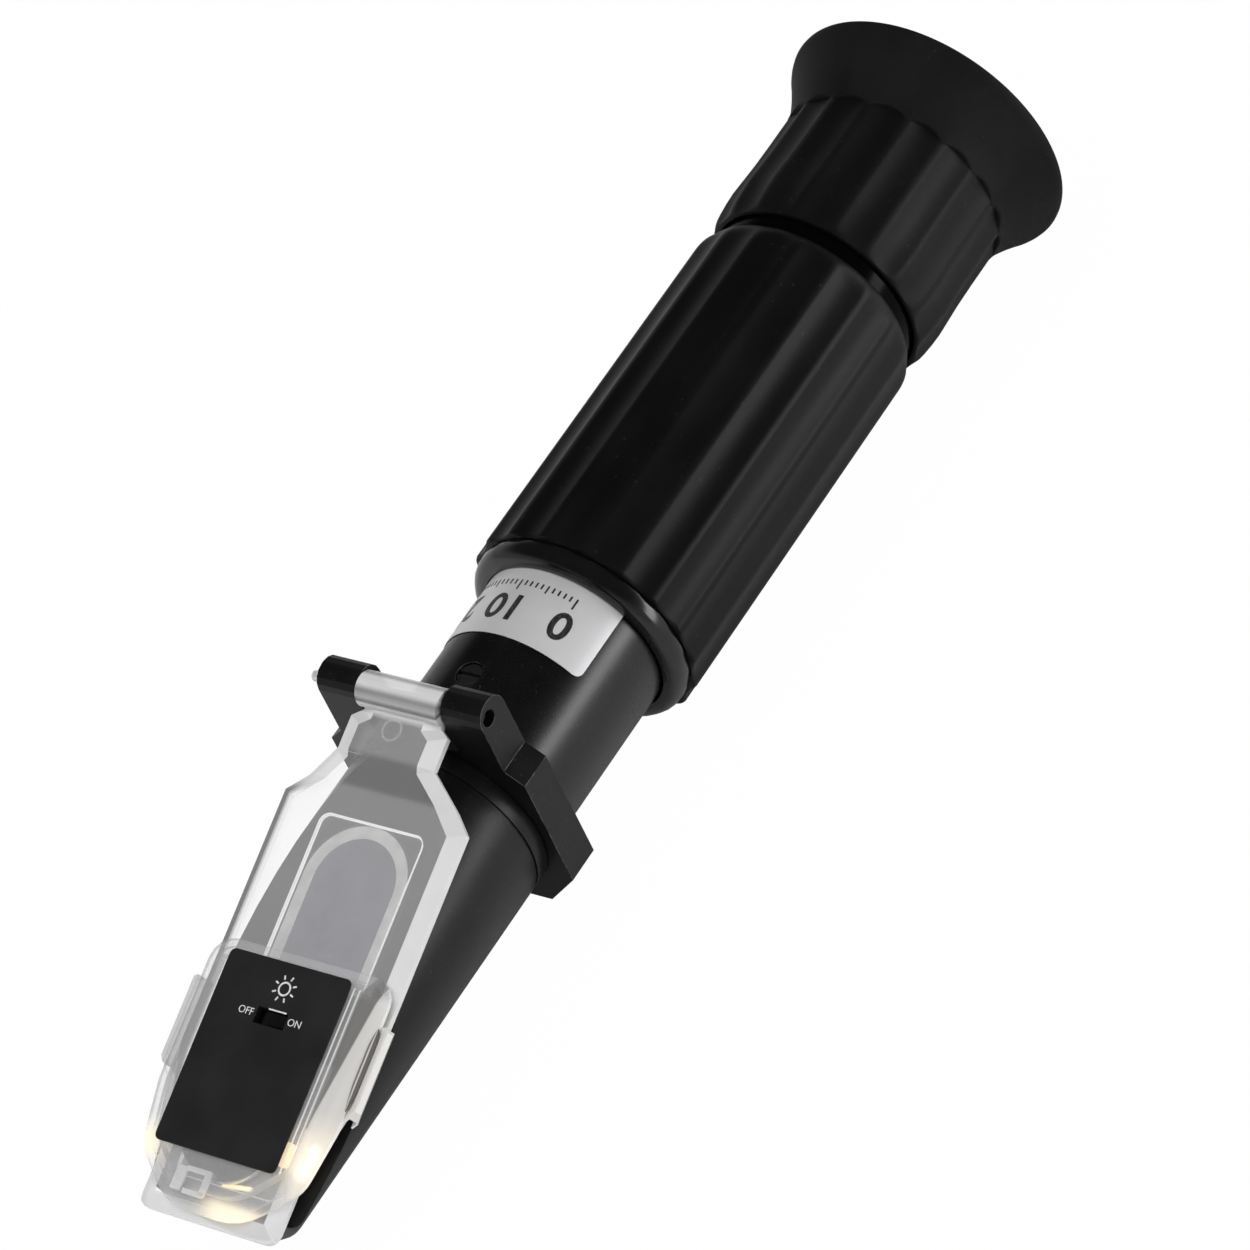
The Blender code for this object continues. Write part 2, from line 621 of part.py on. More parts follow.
def make_tube():
    front = TUBE_STATION
    spigot = front - TUBE_SPIGOT_LENGTH
    tube = turned("main_tube", [(TUBE_END_STATION, TUBE_RADIUS), (front, TUBE_RADIUS),
                                (front, BODY_SPIGOT_RADIUS), (spigot, BODY_SPIGOT_RADIUS),
                                (spigot, TUBE_SPIGOT_BORE_RADIUS), (TUBE_SHELF_STATION, TUBE_SPIGOT_BORE_RADIUS),
                                (TUBE_SHELF_STATION, TUBE_BORE_RADIUS), (TUBE_END_STATION, TUBE_BORE_RADIUS)],
                  GLOSS_BLACK)
    middle = (TUBE_RADIUS + TUBE_BORE_RADIUS) / 2
    screw_hole = rod("tube_screw_cut", (SCREW_STATION, 0, middle - OVERRUN),
                     (SCREW_STATION, 0, middle + OVERRUN), SCREW_RADIUS + RUNNING_GAP, None)
    guide_hole = rod("tube_guide_cut", (GUIDE_STATION, 0, -middle - OVERRUN),
                     (GUIDE_STATION, 0, -middle + OVERRUN), GUIDE_RADIUS + RUNNING_GAP, None)
    combine(tube, [screw_hole, guide_hole])
    rod("guide_pin", (GUIDE_STATION, 0, -TUBE_RADIUS),
        (GUIDE_STATION, 0, -(BARREL_BORE + BARREL_RADIUS) / 2), GUIDE_RADIUS, STEEL)
    top = TUBE_RADIUS - SCREW_RECESS
    screw = rod("calibration_screw", (SCREW_STATION, 0, top - SCREW_LENGTH), (SCREW_STATION, 0, top),
                SCREW_RADIUS, STEEL)
    slot = box("screw_slot_cut", (SCREW_STATION - SCREW_SLOT_WIDTH / 2, -SCREW_RADIUS * 2, top - SCREW_SLOT_DEPTH),
               (SCREW_STATION + SCREW_SLOT_WIDTH / 2, SCREW_RADIUS * 2, top + OVERRUN), None)
    combine(screw, [slot])


def bend_label(shape, radius):
    """Wraps a flat label, laid out along the axis and round the tube, onto the tube."""
    span = LABEL_NEAR_ANGLE + LABEL_FAR_ANGLE
    for k in range(1, LABEL_STEPS):
        arc = radius * (span * k / LABEL_STEPS - LABEL_NEAR_ANGLE)
        everything = shape.verts[:] + shape.edges[:] + shape.faces[:]
        bmesh.ops.bisect_plane(shape, geom=everything, dist=MERGE, plane_co=(0, arc, 0),
                               plane_no=(0, 1, 0))
    for vertex in shape.verts:
        station, arc, height = vertex.co
        angle = arc / radius
        vertex.co = (station, (radius + height) * math.sin(angle), (radius + height) * math.cos(angle))


def make_label():
    radius = TUBE_RADIUS + LABEL_GAP
    far = radius * LABEL_FAR_ANGLE
    near = -radius * LABEL_NEAR_ANGLE
    end = GRIP_STATION - OVERRUN / 2
    outline = rounded([(LABEL_STATION, far, LABEL_CORNER), (end, far, 0), (end, near, 0),
                       (LABEL_STATION, near, LABEL_CORNER)])
    label = slab("tube_label", outline, 0, LABEL_THICKNESS, SILVER)
    edit(label, bend_label, radius)


def make_grip():
    end = GRIP_STATION - SEAM
    bore = TUBE_RADIUS + SLEEVE_GAP
    profile = []
    for k in range(CORNER_STEPS + 1):
        angle = math.pi / 2 * k / CORNER_STEPS
        profile.append((SHOULDER_STATION + SHOULDER_ROUNDING * (1 - math.sin(angle)),
                        SHOULDER_RADIUS - SHOULDER_ROUNDING * (1 - math.cos(angle))))
    turned("shoulder_ring", [(end, SHOULDER_RADIUS)] + profile + [(SHOULDER_STATION, bore), (end, bore)],
           GLOSS_BLACK)
    rings = [(GRIP_STATION, GRIP_RADIUS - GRIP_EDGE, 0.4), (GRIP_STATION + GRIP_EDGE, GRIP_RADIUS, 1),
             (GRIP_END_STATION - 2 * FLUTE_RUN_OUT, GRIP_RADIUS, 1),
             (GRIP_END_STATION - FLUTE_RUN_OUT, GRIP_RADIUS - GRIP_EDGE / 2, 0.8),
             (GRIP_END_STATION - GRIP_EDGE, (GRIP_RADIUS + GRIP_NECK_RADIUS) / 2, 0.2),
             (GRIP_END_STATION, GRIP_NECK_RADIUS, 0)]
    fluted("grip_sleeve", rings, bore, GRIP_FLUTES, RUBBER)
    wall_ring("thread_sleeve", SLEEVE_STATION, TUBE_END_STATION, SLEEVE_RADIUS, bore, GLOSS_BLACK)


def make_optics():
    start = TUBE_SHELF_STATION + SEAM
    outer = TUBE_BORE_RADIUS - SEAM
    strip = wall_ring("compensation_strip", start, start + STRIP_RING_LENGTH, outer, STRIP_RING_BORE, BRASS)
    leaf_top = -(STRIP_RING_BORE + outer) / 2 + STRIP_THICKNESS
    leaf = box("strip_leaf", (start + STRIP_RING_LENGTH / 2, -STRIP_WIDTH / 2, leaf_top - STRIP_THICKNESS),
               (start + STRIP_LENGTH, STRIP_WIDTH / 2, leaf_top), None)
    combine(strip, [leaf], "UNION")
    wall_ring("objective_cell", CELL_STATION, CELL_STATION + CELL_LENGTH, CELL_RADIUS, CELL_BORE, ANODISED)
    lens("objective_lens", CELL_STATION + LENS_EDGE, CELL_BORE - RUNNING_GAP, GLASS)
    disc_end = RETICLE_STATION + RETICLE_THICKNESS
    turned("reticle_disc", [(disc_end, 0), (disc_end, outer), (RETICLE_STATION, outer), (RETICLE_STATION, 0)],
           GLASS)
    ring_start = disc_end + RUNNING_GAP
    wall_ring("reticle_ring", ring_start, ring_start + RETICLE_RING_LENGTH, outer, RETICLE_RING_BORE, ANODISED)


def make_eyepiece():
    barrel = wall_ring("eyepiece_barrel", BARREL_STATION, BARREL_END_STATION, BARREL_RADIUS, BARREL_BORE, ANODISED)
    half = GUIDE_SLOT_LENGTH / 2
    slot = box("barrel_slot_cut", (GUIDE_STATION - half, -GUIDE_RADIUS - SLEEVE_GAP, -TUBE_RADIUS),
               (GUIDE_STATION + half, GUIDE_RADIUS + SLEEVE_GAP, -BARREL_BORE / 2), None)
    combine(barrel, [slot])
    glass = BARREL_BORE - RUNNING_GAP
    lens("field_lens", BARREL_END_STATION - FOCUS_WEB_LENGTH - FIELD_LENS_INSET, glass, GLASS)
    lens("eye_lens", BARREL_END_STATION - EYE_LENS_SETBACK, glass, GLASS)
    start = BARREL_END_STATION - EYE_LENS_SETBACK + LENS_EDGE + LENS_CROWN + SEAM
    wall_ring("lens_retainer", start, start + RETAINER_LENGTH, glass, RETAINER_BORE, GLOSS_BLACK)


def make_focus():
    bore = SLEEVE_RADIUS + SLEEVE_GAP
    web = BARREL_RADIUS + SLEEVE_GAP
    start = FOCUS_STATION
    end = FOCUS_END_STATION
    rings = [(start, FOCUS_FRONT_RADIUS, 0.6), (start + FOCUS_EDGE_LENGTH, FOCUS_EDGE_RADIUS, 1),
             (start + FOCUS_BELLY_LENGTH, FOCUS_BELLY_RADIUS, 1), (start + FOCUS_WAIST_LENGTH, FOCUS_RADIUS, 1),
             (end, FOCUS_RADIUS, 1)]
    ring = fluted("focus_ring", rings, web, FOCUS_FLUTES, RUBBER, FOCUS_PHASE)
    combine(ring, [wall_ring_cut("focus_bore_cut", start - OVERRUN, end - FOCUS_WEB_LENGTH, bore)])
    begin = end + SEAM
    length = EYECUP_END_STATION - begin
    floor = begin + EYECUP_THROAT_LENGTH
    flare = [(begin + length * along, FOCUS_RADIUS + (EYECUP_RADIUS - FOCUS_RADIUS) * out)
             for along, out in FLARE_SHARES]
    outer = [(begin, FOCUS_RADIUS)] + flare + [(EYECUP_END_STATION - EYECUP_LIP, EYECUP_RADIUS)]
    inner = [(max(station, floor), radius - EYECUP_WALL) for station, radius in flare]
    rim = [(EYECUP_END_STATION, EYECUP_RADIUS - EYECUP_WALL),
           (EYECUP_END_STATION, EYECUP_RADIUS - EYECUP_RIM_ROUNDING)]
    throat = [(begin, EYECUP_THROAT_RADIUS), (floor, EYECUP_THROAT_RADIUS)]
    turned("eyecup", outer[::-1] + throat + inner + rim, RUBBER)


def plate_half():
    """The +Y half of the plate's outline, from the lower end up to the hinge."""
    taper_end = -(PLATE_TAPER_REACH + PLATE_TAPER_LENGTH)
    return [(-PLATE_REACH, PLATE_END_HALF_WIDTH, 0), (taper_end, PLATE_END_HALF_WIDTH, 0),
            (-PLATE_TAPER_REACH, PLATE_HALF_WIDTH, 0), (-PLATE_SHOULDER_REACH, PLATE_HALF_WIDTH, 0),
            (-NECK_CREASE_REACH, NECK_HALF_WIDTH, 0), (-NECK_WIDE_REACH, NECK_HALF_WIDTH, 0),
            (-NECK_WAIST_REACH, NECK_WAIST_HALF_WIDTH, 0), (0, NECK_WAIST_HALF_WIDTH, 0)]


def bend_neck(shape):
    """Creases the plate twice across, so that the neck lies higher and meets the hinge barrel."""
    for reach in (PLATE_CREASE_REACH, NECK_CREASE_REACH):
        everything = shape.verts[:] + shape.edges[:] + shape.faces[:]
        bmesh.ops.bisect_plane(shape, geom=everything, dist=MERGE, plane_co=(-reach, 0, 0),
                               plane_no=(1, 0, 0))
    for vertex in shape.verts:
        share = (PLATE_CREASE_REACH + vertex.co.x) / (PLATE_CREASE_REACH - NECK_CREASE_REACH)
        vertex.co.z += NECK_RISE * min(1, max(0, share))


def make_plate():
    plate = slab("daylight_plate", rounded(mirrored(plate_half())), PLATE_UNDER_RISE, PLATE_TOP_RISE,
                 FROSTED, HINGE)
    edit(plate, shoulder, PLATE_BORDER_WIDTH, PLATE_BORDER_DROP)
    edit(plate, bend_neck)
    pad_half = [(-PAD_FAR_REACH, PAD_HALF_WIDTH, PAD_CORNER), (-PAD_NEAR_REACH, PAD_HALF_WIDTH, PAD_CORNER)]
    pad = slab("plate_pad", rounded(mirrored(pad_half)), PLATE_UNDER_RISE - PAD_THICKNESS,
               (PLATE_UNDER_RISE + PLATE_TOP_RISE) / 2, None, HINGE)
    half = EAR_INNER - BARREL_HINGE_GAP
    barrel = rod("plate_barrel", (0, -half, 0), (0, half, 0), BARREL_HINGE_RADIUS, None, HINGE)
    bore = rod("plate_bore_cut", (0, -EAR_OUTER, 0), (0, EAR_OUTER, 0), PIN_RADIUS + RUNNING_GAP, None, HINGE)
    keep_half = [(-PLATE_REACH, PLATE_END_HALF_WIDTH, PLATE_END_CORNER),
                 (-PLATE_TAPER_REACH - PLATE_TAPER_LENGTH, PLATE_END_HALF_WIDTH, 0),
                 (-PLATE_TAPER_REACH - PLATE_TAPER_LENGTH, PLATE_HALF_WIDTH * 2, 0),
                 (PLATE_TAPER_LENGTH, PLATE_HALF_WIDTH * 2, 0)]
    keep = slab("plate_corner_keep", rounded(mirrored(keep_half)), PLATE_UNDER_RISE - OVERRUN, OVERRUN, None, HINGE)
    combine(plate, [keep], "INTERSECT")
    combine(plate, [pad, barrel], "UNION")
    combine(plate, [bore])


def box_outline(inset=0.0):
    end = -(BOX_END_REACH - inset)
    half = [(end, BOX_END_HALF_WIDTH - inset / 2, BOX_END_RADIUS - inset),
            (-(BOX_BEND_REACH - inset * 0.6), BOX_BEND_HALF_WIDTH - inset, BOX_BEND_RADIUS - inset),
            (-BOX_TAPER_REACH, BOX_HALF_WIDTH - inset, BOX_TAPER_RADIUS),
            (-(BOX_NEAR_REACH + inset), BOX_HALF_WIDTH - inset, BOX_CORNER - inset)]
    return rounded(mirrored(half))


def make_wing(side):
    """A clip arm that runs down beside one edge of the plate and turns in under it."""
    name = "left" if side > 0 else "right"
    near = -WING_NEAR_REACH
    far = near - WING_LENGTH
    inner = WING_OUTER - WING_WALL
    web = BOX_BOTTOM_RISE - WING_WEB_DROP
    lip = PLATE_UNDER_RISE - SEAM
    foot = lip - WING_LIP_THICKNESS
    section = [(web, WING_ROOT), (web, inner), (lip, inner), (lip, WING_LIP_INNER), (foot, WING_LIP_INNER),
               (foot, WING_LIP_OUTER), (WING_TOP_RISE - WING_BELLY_DROP, WING_OUTER),
               (WING_TOP_RISE - WING_EDGE, WING_OUTER), (WING_TOP_RISE, WING_OUTER - WING_EDGE),
               (WING_TOP_RISE, inner + WING_EDGE), (web + WING_WEB_THICKNESS, inner),
               (web + WING_WEB_THICKNESS, WING_ROOT)]
    wing = slab("wing_" + name, [(-rise, across * side) for rise, across in section], far - OVERRUN,
                near + OVERRUN, None, HINGE, rotation=ALONG_AXIS)
    wide = WING_OUTER + SEAM
    plan = [(near, 0), (near, WING_OUTER - WING_EDGE * 3), (near - WING_EDGE * 4, wide),
            (far + WING_RAMP, wide), (far, WING_OUTER - WING_RAMP_INSET), (far, 0)]
    keep = slab("wing_keep_" + name, [(x, y * side) for x, y in plan], foot - OVERRUN, OVERRUN, None, HINGE)
    combine(wing, [keep], "INTERSECT")
    return wing


def make_light_box():
    shell = slab("light_box_shell", box_outline(), BOX_BOTTOM_RISE, BOX_TOP_RISE, FROSTED, HINGE)
    edit(shell, shoulder, BOX_SHOULDER_WIDTH, BOX_SHOULDER_DROP)
    cavity = slab("box_cavity_cut", box_outline(BOX_SHOULDER_WIDTH), BOX_BOTTOM_RISE - OVERRUN,
                  BOX_CEILING_RISE, None, HINGE)
    recess = slab("box_recess_cut", box_outline(BOX_WALL), BOX_BOTTOM_RISE - OVERRUN, BASE_TOP_RISE + SEAM,
                  None, HINGE)
    slot = switch_slot_cut("box_switch_cut", 0, BOX_CEILING_RISE - SEAM, BOX_TOP_RISE + OVERRUN)
    combine(shell, [make_wing(1), make_wing(-1)], "UNION")
    combine(shell, [cavity, recess, slot])
    slab("light_box_base", box_outline(BOX_WALL + SLEEVE_GAP), BOX_BOTTOM_RISE, BASE_TOP_RISE, FROSTED, HINGE)


def switch_slot_cut(name, margin, low, high):
    half = SWITCH_SLOT_WIDTH / 2 + margin
    long = SWITCH_SLOT_LENGTH / 2 + margin
    return box(name, (-SWITCH_REACH - half, SWITCH_SLOT_CENTRE - long, low),
               (-SWITCH_REACH + half, SWITCH_SLOT_CENTRE + long, high), None, HINGE)


def make_sticker():
    far = -STICKER_REACH - STICKER_LENGTH
    half = [(far, STICKER_HALF_WIDTH, STICKER_CORNER), (-STICKER_REACH, STICKER_HALF_WIDTH, STICKER_CORNER)]
    low = BOX_TOP_RISE + STICKER_GAP
    sticker = slab("face_sticker", rounded(mirrored(half)), low, low + STICKER_THICKNESS, STICKER_BLACK, HINGE)
    combine(sticker, [switch_slot_cut("sticker_switch_cut", SEAM, low - OVERRUN, low + OVERRUN)])


def make_switch():
    along = SWITCH_SLOT_WIDTH / 2 - SWITCH_GAP
    start = SWITCH_SLOT_CENTRE - SWITCH_SLOT_LENGTH / 2 + SWITCH_GAP
    end = start + SWITCH_KNOB_LENGTH
    top = BOX_CEILING_RISE - SWITCH_GAP
    knob = box("light_switch", (-SWITCH_REACH - along, start, top - SWITCH_FOOT_HEIGHT),
               (-SWITCH_REACH + along, end, BOX_TOP_RISE - SWITCH_RECESS), GLOSS_BLACK, HINGE)
    wide = along + SWITCH_SLOT_WIDTH / 2
    foot = box("switch_foot", (-SWITCH_REACH - wide, start - SWITCH_SLOT_WIDTH / 2, top - SWITCH_FOOT_HEIGHT),
               (-SWITCH_REACH + wide, end + SWITCH_SLOT_WIDTH / 2, top), None, HINGE)
    combine(knob, [foot], "UNION")


def make_electrics():
    floor = BASE_TOP_RISE + SEAM
    board_top = floor + BOARD_THICKNESS
    box("circuit_board", (-BOARD_FAR_REACH, -BOARD_HALF_WIDTH, floor),
        (-BOARD_NEAR_REACH, BOARD_HALF_WIDTH, board_top), BOARD_GREEN, HINGE)
    cell_top = floor + COIN_THICKNESS
    circle = []
    for k in range(ROUND_STEPS):
        angle = 2 * math.pi * k / ROUND_STEPS
        circle.append((COIN_RADIUS * math.cos(angle) - COIN_REACH, COIN_RADIUS * math.sin(angle)))
    slab("coin_cell", circle, floor, cell_top, STEEL, HINGE)
    low = cell_top + COIN_GAP
    box("cell_contact", (-COIN_REACH - CONTACT_WIDTH / 2, -CONTACT_WIDTH / 2, low),
        (-SWITCH_REACH - SWITCH_SLOT_WIDTH - CONTACT_SWITCH_GAP, CONTACT_WIDTH / 2, low + CONTACT_THICKNESS),
        STEEL, HINGE)
    box("led", (-LED_REACH - LED_SIZE / 2, -LED_SIDE - LED_SIZE / 2, floor),
        (-LED_REACH + LED_LENGTH - LED_SIZE / 2, -LED_SIDE + LED_SIZE / 2, floor + LED_SIZE), LED_WARM, HINGE)


make_prism_body()
make_prism()
make_collar()
make_tube()
make_label()
make_grip()
make_optics()
make_eyepiece()
make_focus()
make_plate()
make_light_box()
make_sticker()
make_switch()
make_electrics()
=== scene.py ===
"""The looks of a hand-held brix refractometer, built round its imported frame.

Lengths are in metres. The optical axis runs along +X towards the eye. Places on the daylight plate
are given in its own frame: x up the plate to the hinge pin, y across and z along its normal.
"""
import json
from functools import cache
from math import cos, pi, radians, sin

import bmesh
import bpy
from mathutils import Matrix, Vector


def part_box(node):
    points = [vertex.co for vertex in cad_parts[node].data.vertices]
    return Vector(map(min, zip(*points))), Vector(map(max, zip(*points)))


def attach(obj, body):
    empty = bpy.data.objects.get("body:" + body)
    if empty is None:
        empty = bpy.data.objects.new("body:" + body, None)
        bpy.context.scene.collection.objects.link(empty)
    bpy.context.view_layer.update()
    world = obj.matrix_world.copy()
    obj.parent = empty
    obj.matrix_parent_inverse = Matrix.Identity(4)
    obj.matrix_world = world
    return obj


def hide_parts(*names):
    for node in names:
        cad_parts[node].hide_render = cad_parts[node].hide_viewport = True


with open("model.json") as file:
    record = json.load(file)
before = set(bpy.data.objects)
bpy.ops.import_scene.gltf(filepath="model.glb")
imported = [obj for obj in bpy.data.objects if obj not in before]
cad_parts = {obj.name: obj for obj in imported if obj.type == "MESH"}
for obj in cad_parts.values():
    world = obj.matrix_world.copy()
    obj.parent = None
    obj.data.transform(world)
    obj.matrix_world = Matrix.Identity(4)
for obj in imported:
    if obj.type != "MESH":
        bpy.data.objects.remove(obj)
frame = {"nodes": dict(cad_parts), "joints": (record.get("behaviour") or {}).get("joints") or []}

bl_info = {
    "name": "Brix refractometer",
    "version": (1, 0, 0),
    "blender": (4, 5, 0),
    "location": "View3D > Sidebar > Refractometer",
    "description": "Builds the visible pieces, finishes and studio of a brix refractometer",
    "category": "Add Mesh",
}

MERGE = 0.000001
SMALL_FACE = 0.000001
BROAD_FACE = 0.000012
AXIS_HEIGHT = 0.02
FLUTES = 18
FOCUS_PHASE = radians(11.2)
LABEL_PLACE = -0.0062

HINGE = next(joint for joint in frame["joints"] if joint["name"] == "cover_hinge")
SLOPE = radians(19.7)
PLATE_FRAME = Matrix.Translation(HINGE["pos_m"]) @ Matrix.Rotation(-SLOPE, 4, "Y")
PLATE_NORMAL = (-sin(SLOPE), 0, cos(SLOPE))
PLATE_UP = (cos(SLOPE), 0, sin(SLOPE))

# Places in the plate's frame.
SAMPLE_RISE = -0.0043
SEAL_NEAR = -0.0229
SEAL_FAR = -0.0505
SEAL_HALF = 0.0076
PAD_CENTRE = -0.0386
PAD_HALF = (0.0234, 0.0078)
PAD_CORNER = 0.0013
STICKER_TOP_RISE = 0.0009
NECK_TOP_RISE = -0.0001
SWITCH_PLACE = (-0.042, -0.0005)
GLOW_RIGHT = (-0.0568, -0.0114, -0.0012)
GLOW_LEFT = (-0.0597, 0.0118, -0.0012)
LAMP_CORES = (((-0.0554, -0.0118, -0.001), 0.0015, 0.9),
              ((-0.0567, -0.0116, -0.001), 0.0015, 0.8),
              ((-0.058, -0.0114, -0.001), 0.0017, 1.1))

WHITE = (1.0, 1.0, 1.0)
UNLIT = (0.0, 0.0, 0.0)
HOT_LIGHT = (1.0, 0.9, 0.66)
DEEP_SHADE = (0.02, 0.02, 0.02)


# Settings that a user may change.


def length(name, description, default):
    return bpy.props.FloatProperty(name=name, description=description, default=default,
                                   unit="LENGTH", subtype="DISTANCE", precision=5, min=0)


def colour(name, description, default):
    return bpy.props.FloatVectorProperty(name=name, description=description, default=default,
                                         subtype="COLOR", size=3, min=0, max=1)


def number(name, description, default, high=1.0):
    return bpy.props.FloatProperty(name=name, description=description, default=default,
                                   min=0, max=high)


class BrixSizes(bpy.types.PropertyGroup):
    """Sizes of the visible pieces"""
    edge: length("Metal edge", "Rounding of the machined edges", 0.00016)
    plastic_edge: length("Plastic edge", "Rounding of the moulded plastic's edges", 0.00014)
    print_edge: length("Film edge", "Rounding of the label's and the sticker's edges", 0.00003)
    flute_depth: length("Flute depth", "Depth of the flutes of the grip and the ring", 0.00055)
    grip_edge: length("Grip edge", "Chamfer at the ends of the grip", 0.0004)
    scallop: length("Scallop", "How far a flute runs past its ridges into the eyecup", 0.001)


class BrixColours(bpy.types.PropertyGroup):
    """Colours of the finishes"""
    anodised: colour("Anodised black", "Prism body, collar and tube", (0.0055, 0.0055, 0.0058))
    rubber: colour("Rubber", "Grip and focus ring", (0.0038, 0.0038, 0.0039))
    cup: colour("Eyecup rubber", "Flared eyecup", (0.008, 0.008, 0.0082))
    plastic: colour("Clear plastic", "Veil of the milky clear plastic", (0.86, 0.86, 0.865))
    label: colour("Label foil", "Silver label on the tube", (0.66, 0.66, 0.67))
    film: colour("Sticker film", "Printed film on the light box", (0.016, 0.016, 0.0165))
    ink: colour("Ink", "Pale print on the sticker", (0.82, 0.82, 0.82))
    glow: colour("Lamp glow", "Light of the warm lamp", (1.0, 0.78, 0.42))


class BrixStudio(bpy.types.PropertyGroup):
    """Light of the studio"""
    key: number("Key light", "Power of the overhead soft light, in watts", 8.2, 50)
    strip: number("Strip light", "Power of the long side light, in watts", 3.4, 50)
    ceiling: number("Ceiling", "Brightness of the studio overhead", 0.05)
    horizon: number("Walls", "Brightness of the studio's pale walls", 0.5)


def sizes():
    return bpy.context.scene.brix_sizes


def colours():
    return bpy.context.scene.brix_colours


def studio():
    return bpy.context.scene.brix_studio


# Shader nodes.


class Wire:
    """A shader socket whose operators add Math nodes."""

    def __init__(self, paint, socket):
        self.paint = paint
        self.socket = socket

    def join(self, operation, *values):
        return self.paint.node("Math", dict(enumerate(values)), operation=operation)

    def __add__(self, other):
        return self.join("ADD", self, other)

    def __sub__(self, other):
        return self.join("SUBTRACT", self, other)

    def __rsub__(self, other):
        return self.join("SUBTRACT", other, self)

    def __mul__(self, other):
        return self.join("MULTIPLY", self, other)

    def __abs__(self):
        return self.join("ABSOLUTE", self)

    def largest(self, other):
        return self.join("MAXIMUM", self, other)

    def smallest(self, other):
        return self.join("MINIMUM", self, other)

    def swing(self, amount):
        """A pattern about one half, as a swing about zero."""
        return (self - 0.5) * amount

    def range(self, low, high, start=0.0, end=1.0):
        """A smooth step from low to high, as start to end."""
        ends = {"From Min": low, "From Max": high, "To Min": start, "To Max": end}
        return self.paint.node("MapRange", {"Value": self, **ends}, interpolation_type="SMOOTHSTEP")

    def line(self, middle, outside, inside):
        """One along a line at the middle, and none outside it."""
        return abs(self - middle).range(outside, inside)

    __radd__ = __add__
    __rmul__ = __mul__


class Nodes:
    """The shader nodes of a material or a world."""

    def __init__(self, tree):
        self.tree = tree

    def node(self, kind, inputs=None, output=0, **settings):
        """Adds a node with its settings, and then its inputs."""
        made = self.tree.nodes.new("ShaderNode" + kind)
        for key, value in settings.items():
            if key == "stops":
                stops = made.color_ramp.elements
                while len(stops) < len(value):
                    stops.new(0.5)
                for stop, (place, grey) in zip(stops, value):
                    stop.position = place
                    stop.color = (grey, grey, grey, 1)
            else:
                setattr(made, key, value)
        for key, value in (inputs or {}).items():
            self.put(value, made.inputs[key])
        return Wire(self, made.outputs[output])

    def put(self, value, socket):
        if isinstance(value, Wire):
            self.tree.links.new(value.socket, socket)
        elif socket.type == "RGBA" and len(value) == 3:
            socket.default_value = (*value, 1)
        else:
            socket.default_value = value

    def split(self, vector):
        outputs = self.node("SeparateXYZ", {0: vector}).socket.node.outputs
        return [Wire(self, outputs[i]) for i in range(3)]

    def rays(self, *names):
        """One for each of these kinds of ray."""
        outputs = self.node("LightPath").socket.node.outputs
        return [Wire(self, outputs[name]) for name in names]


class Paint(Nodes):
    """A procedural material, patterned in the piece's frame or the plate's."""

    def __init__(self, name, plate=False, **constants):
        self.material = bpy.data.materials.new(name)
        self.material.use_nodes = True
        super().__init__(self.material.node_tree)
        self.shader = self.tree.nodes["Principled BSDF"]
        for socket, value in constants.items():
            self.shader.inputs[socket.replace("_", " ")].default_value = value
        self.coordinates = self.tree.nodes.new("ShaderNodeTexCoord")
        self.here = self.on_plate() if plate else self.place()

    def feed(self, base, rough, bump=None, **others):
        """Feeds the shader; a bump is a height with its strength and its distance."""
        if bump:
            names = ("Height", "Strength", "Distance")
            others["Normal"] = self.node("Bump", dict(zip(names, bump)))
        for socket, value in {"Base_Color": base, "Roughness": rough, **others}.items():
            self.put(value, self.shader.inputs[socket.replace("_", " ")])
        return self.material

    def place(self, centre=(0, 0, 0), turn=(0, 0, 0)):
        """The point on the piece, measured from a centre and turned."""
        point = Wire(self, self.coordinates.outputs["Object"])
        return self.node("Mapping", {"Vector": point, "Location": centre, "Rotation": turn},
                         vector_type="TEXTURE")

    def on_plate(self):
        return self.place(HINGE["pos_m"], (0, -SLOPE, 0))

    def facing(self, direction):
        """How far the surface faces a direction of the piece, from -1 to 1."""
        normal = Wire(self, self.coordinates.outputs["Normal"])
        return self.node("VectorMath", {0: normal, 1: direction}, "Value", operation="DOT_PRODUCT")

    def noise(self, scale, detail=3.0, roughness=0.5, stretch=None):
        place = self.here
        if stretch:
            place = self.node("VectorMath", {0: place, 1: stretch}, operation="MULTIPLY")
        return self.node("TexNoise", {"Vector": place, "Scale": scale, "Detail": detail,
                                      "Roughness": roughness})

    def mix(self, factor, first, second):
        """A colour between two others."""
        return self.node("Mix", {"Factor": factor, 6: first, 7: second}, 2, data_type="RGBA")

    def varied(self, pattern, tone, low, high, start=0.3, end=0.7):
        """A tone whose brightness varies with a pattern."""
        return self.mix(pattern.range(start, end), *([c * k for c in tone] for k in (low, high)))

    def spot(self, centre, reach, strength):
        """A strength that falls off round a centre."""
        far = self.node("VectorMath", {0: self.here, 1: centre}, "Value", operation="DISTANCE")
        return far.range(0.0, reach, strength, 0.0)

    def past_outline(self, x, y, centre, half, corner):
        """How far a point lies outside a rounded rectangle on the plate."""
        along = abs(x - centre) - (half[0] - corner)
        across = abs(y) - (half[1] - corner)
        beyond = self.node("CombineXYZ", {0: along.largest(0.0), 1: across.largest(0.0)})
        far = self.node("VectorMath", {0: beyond}, "Value", operation="LENGTH")
        return far + along.largest(across).smallest(0.0) - corner

    def worn(self):
        """One along the rounded edges of a softened piece, for wear and for painted edge
        highlights.
        """
        return self.node("Attribute", {}, "Fac", attribute_name="worn")


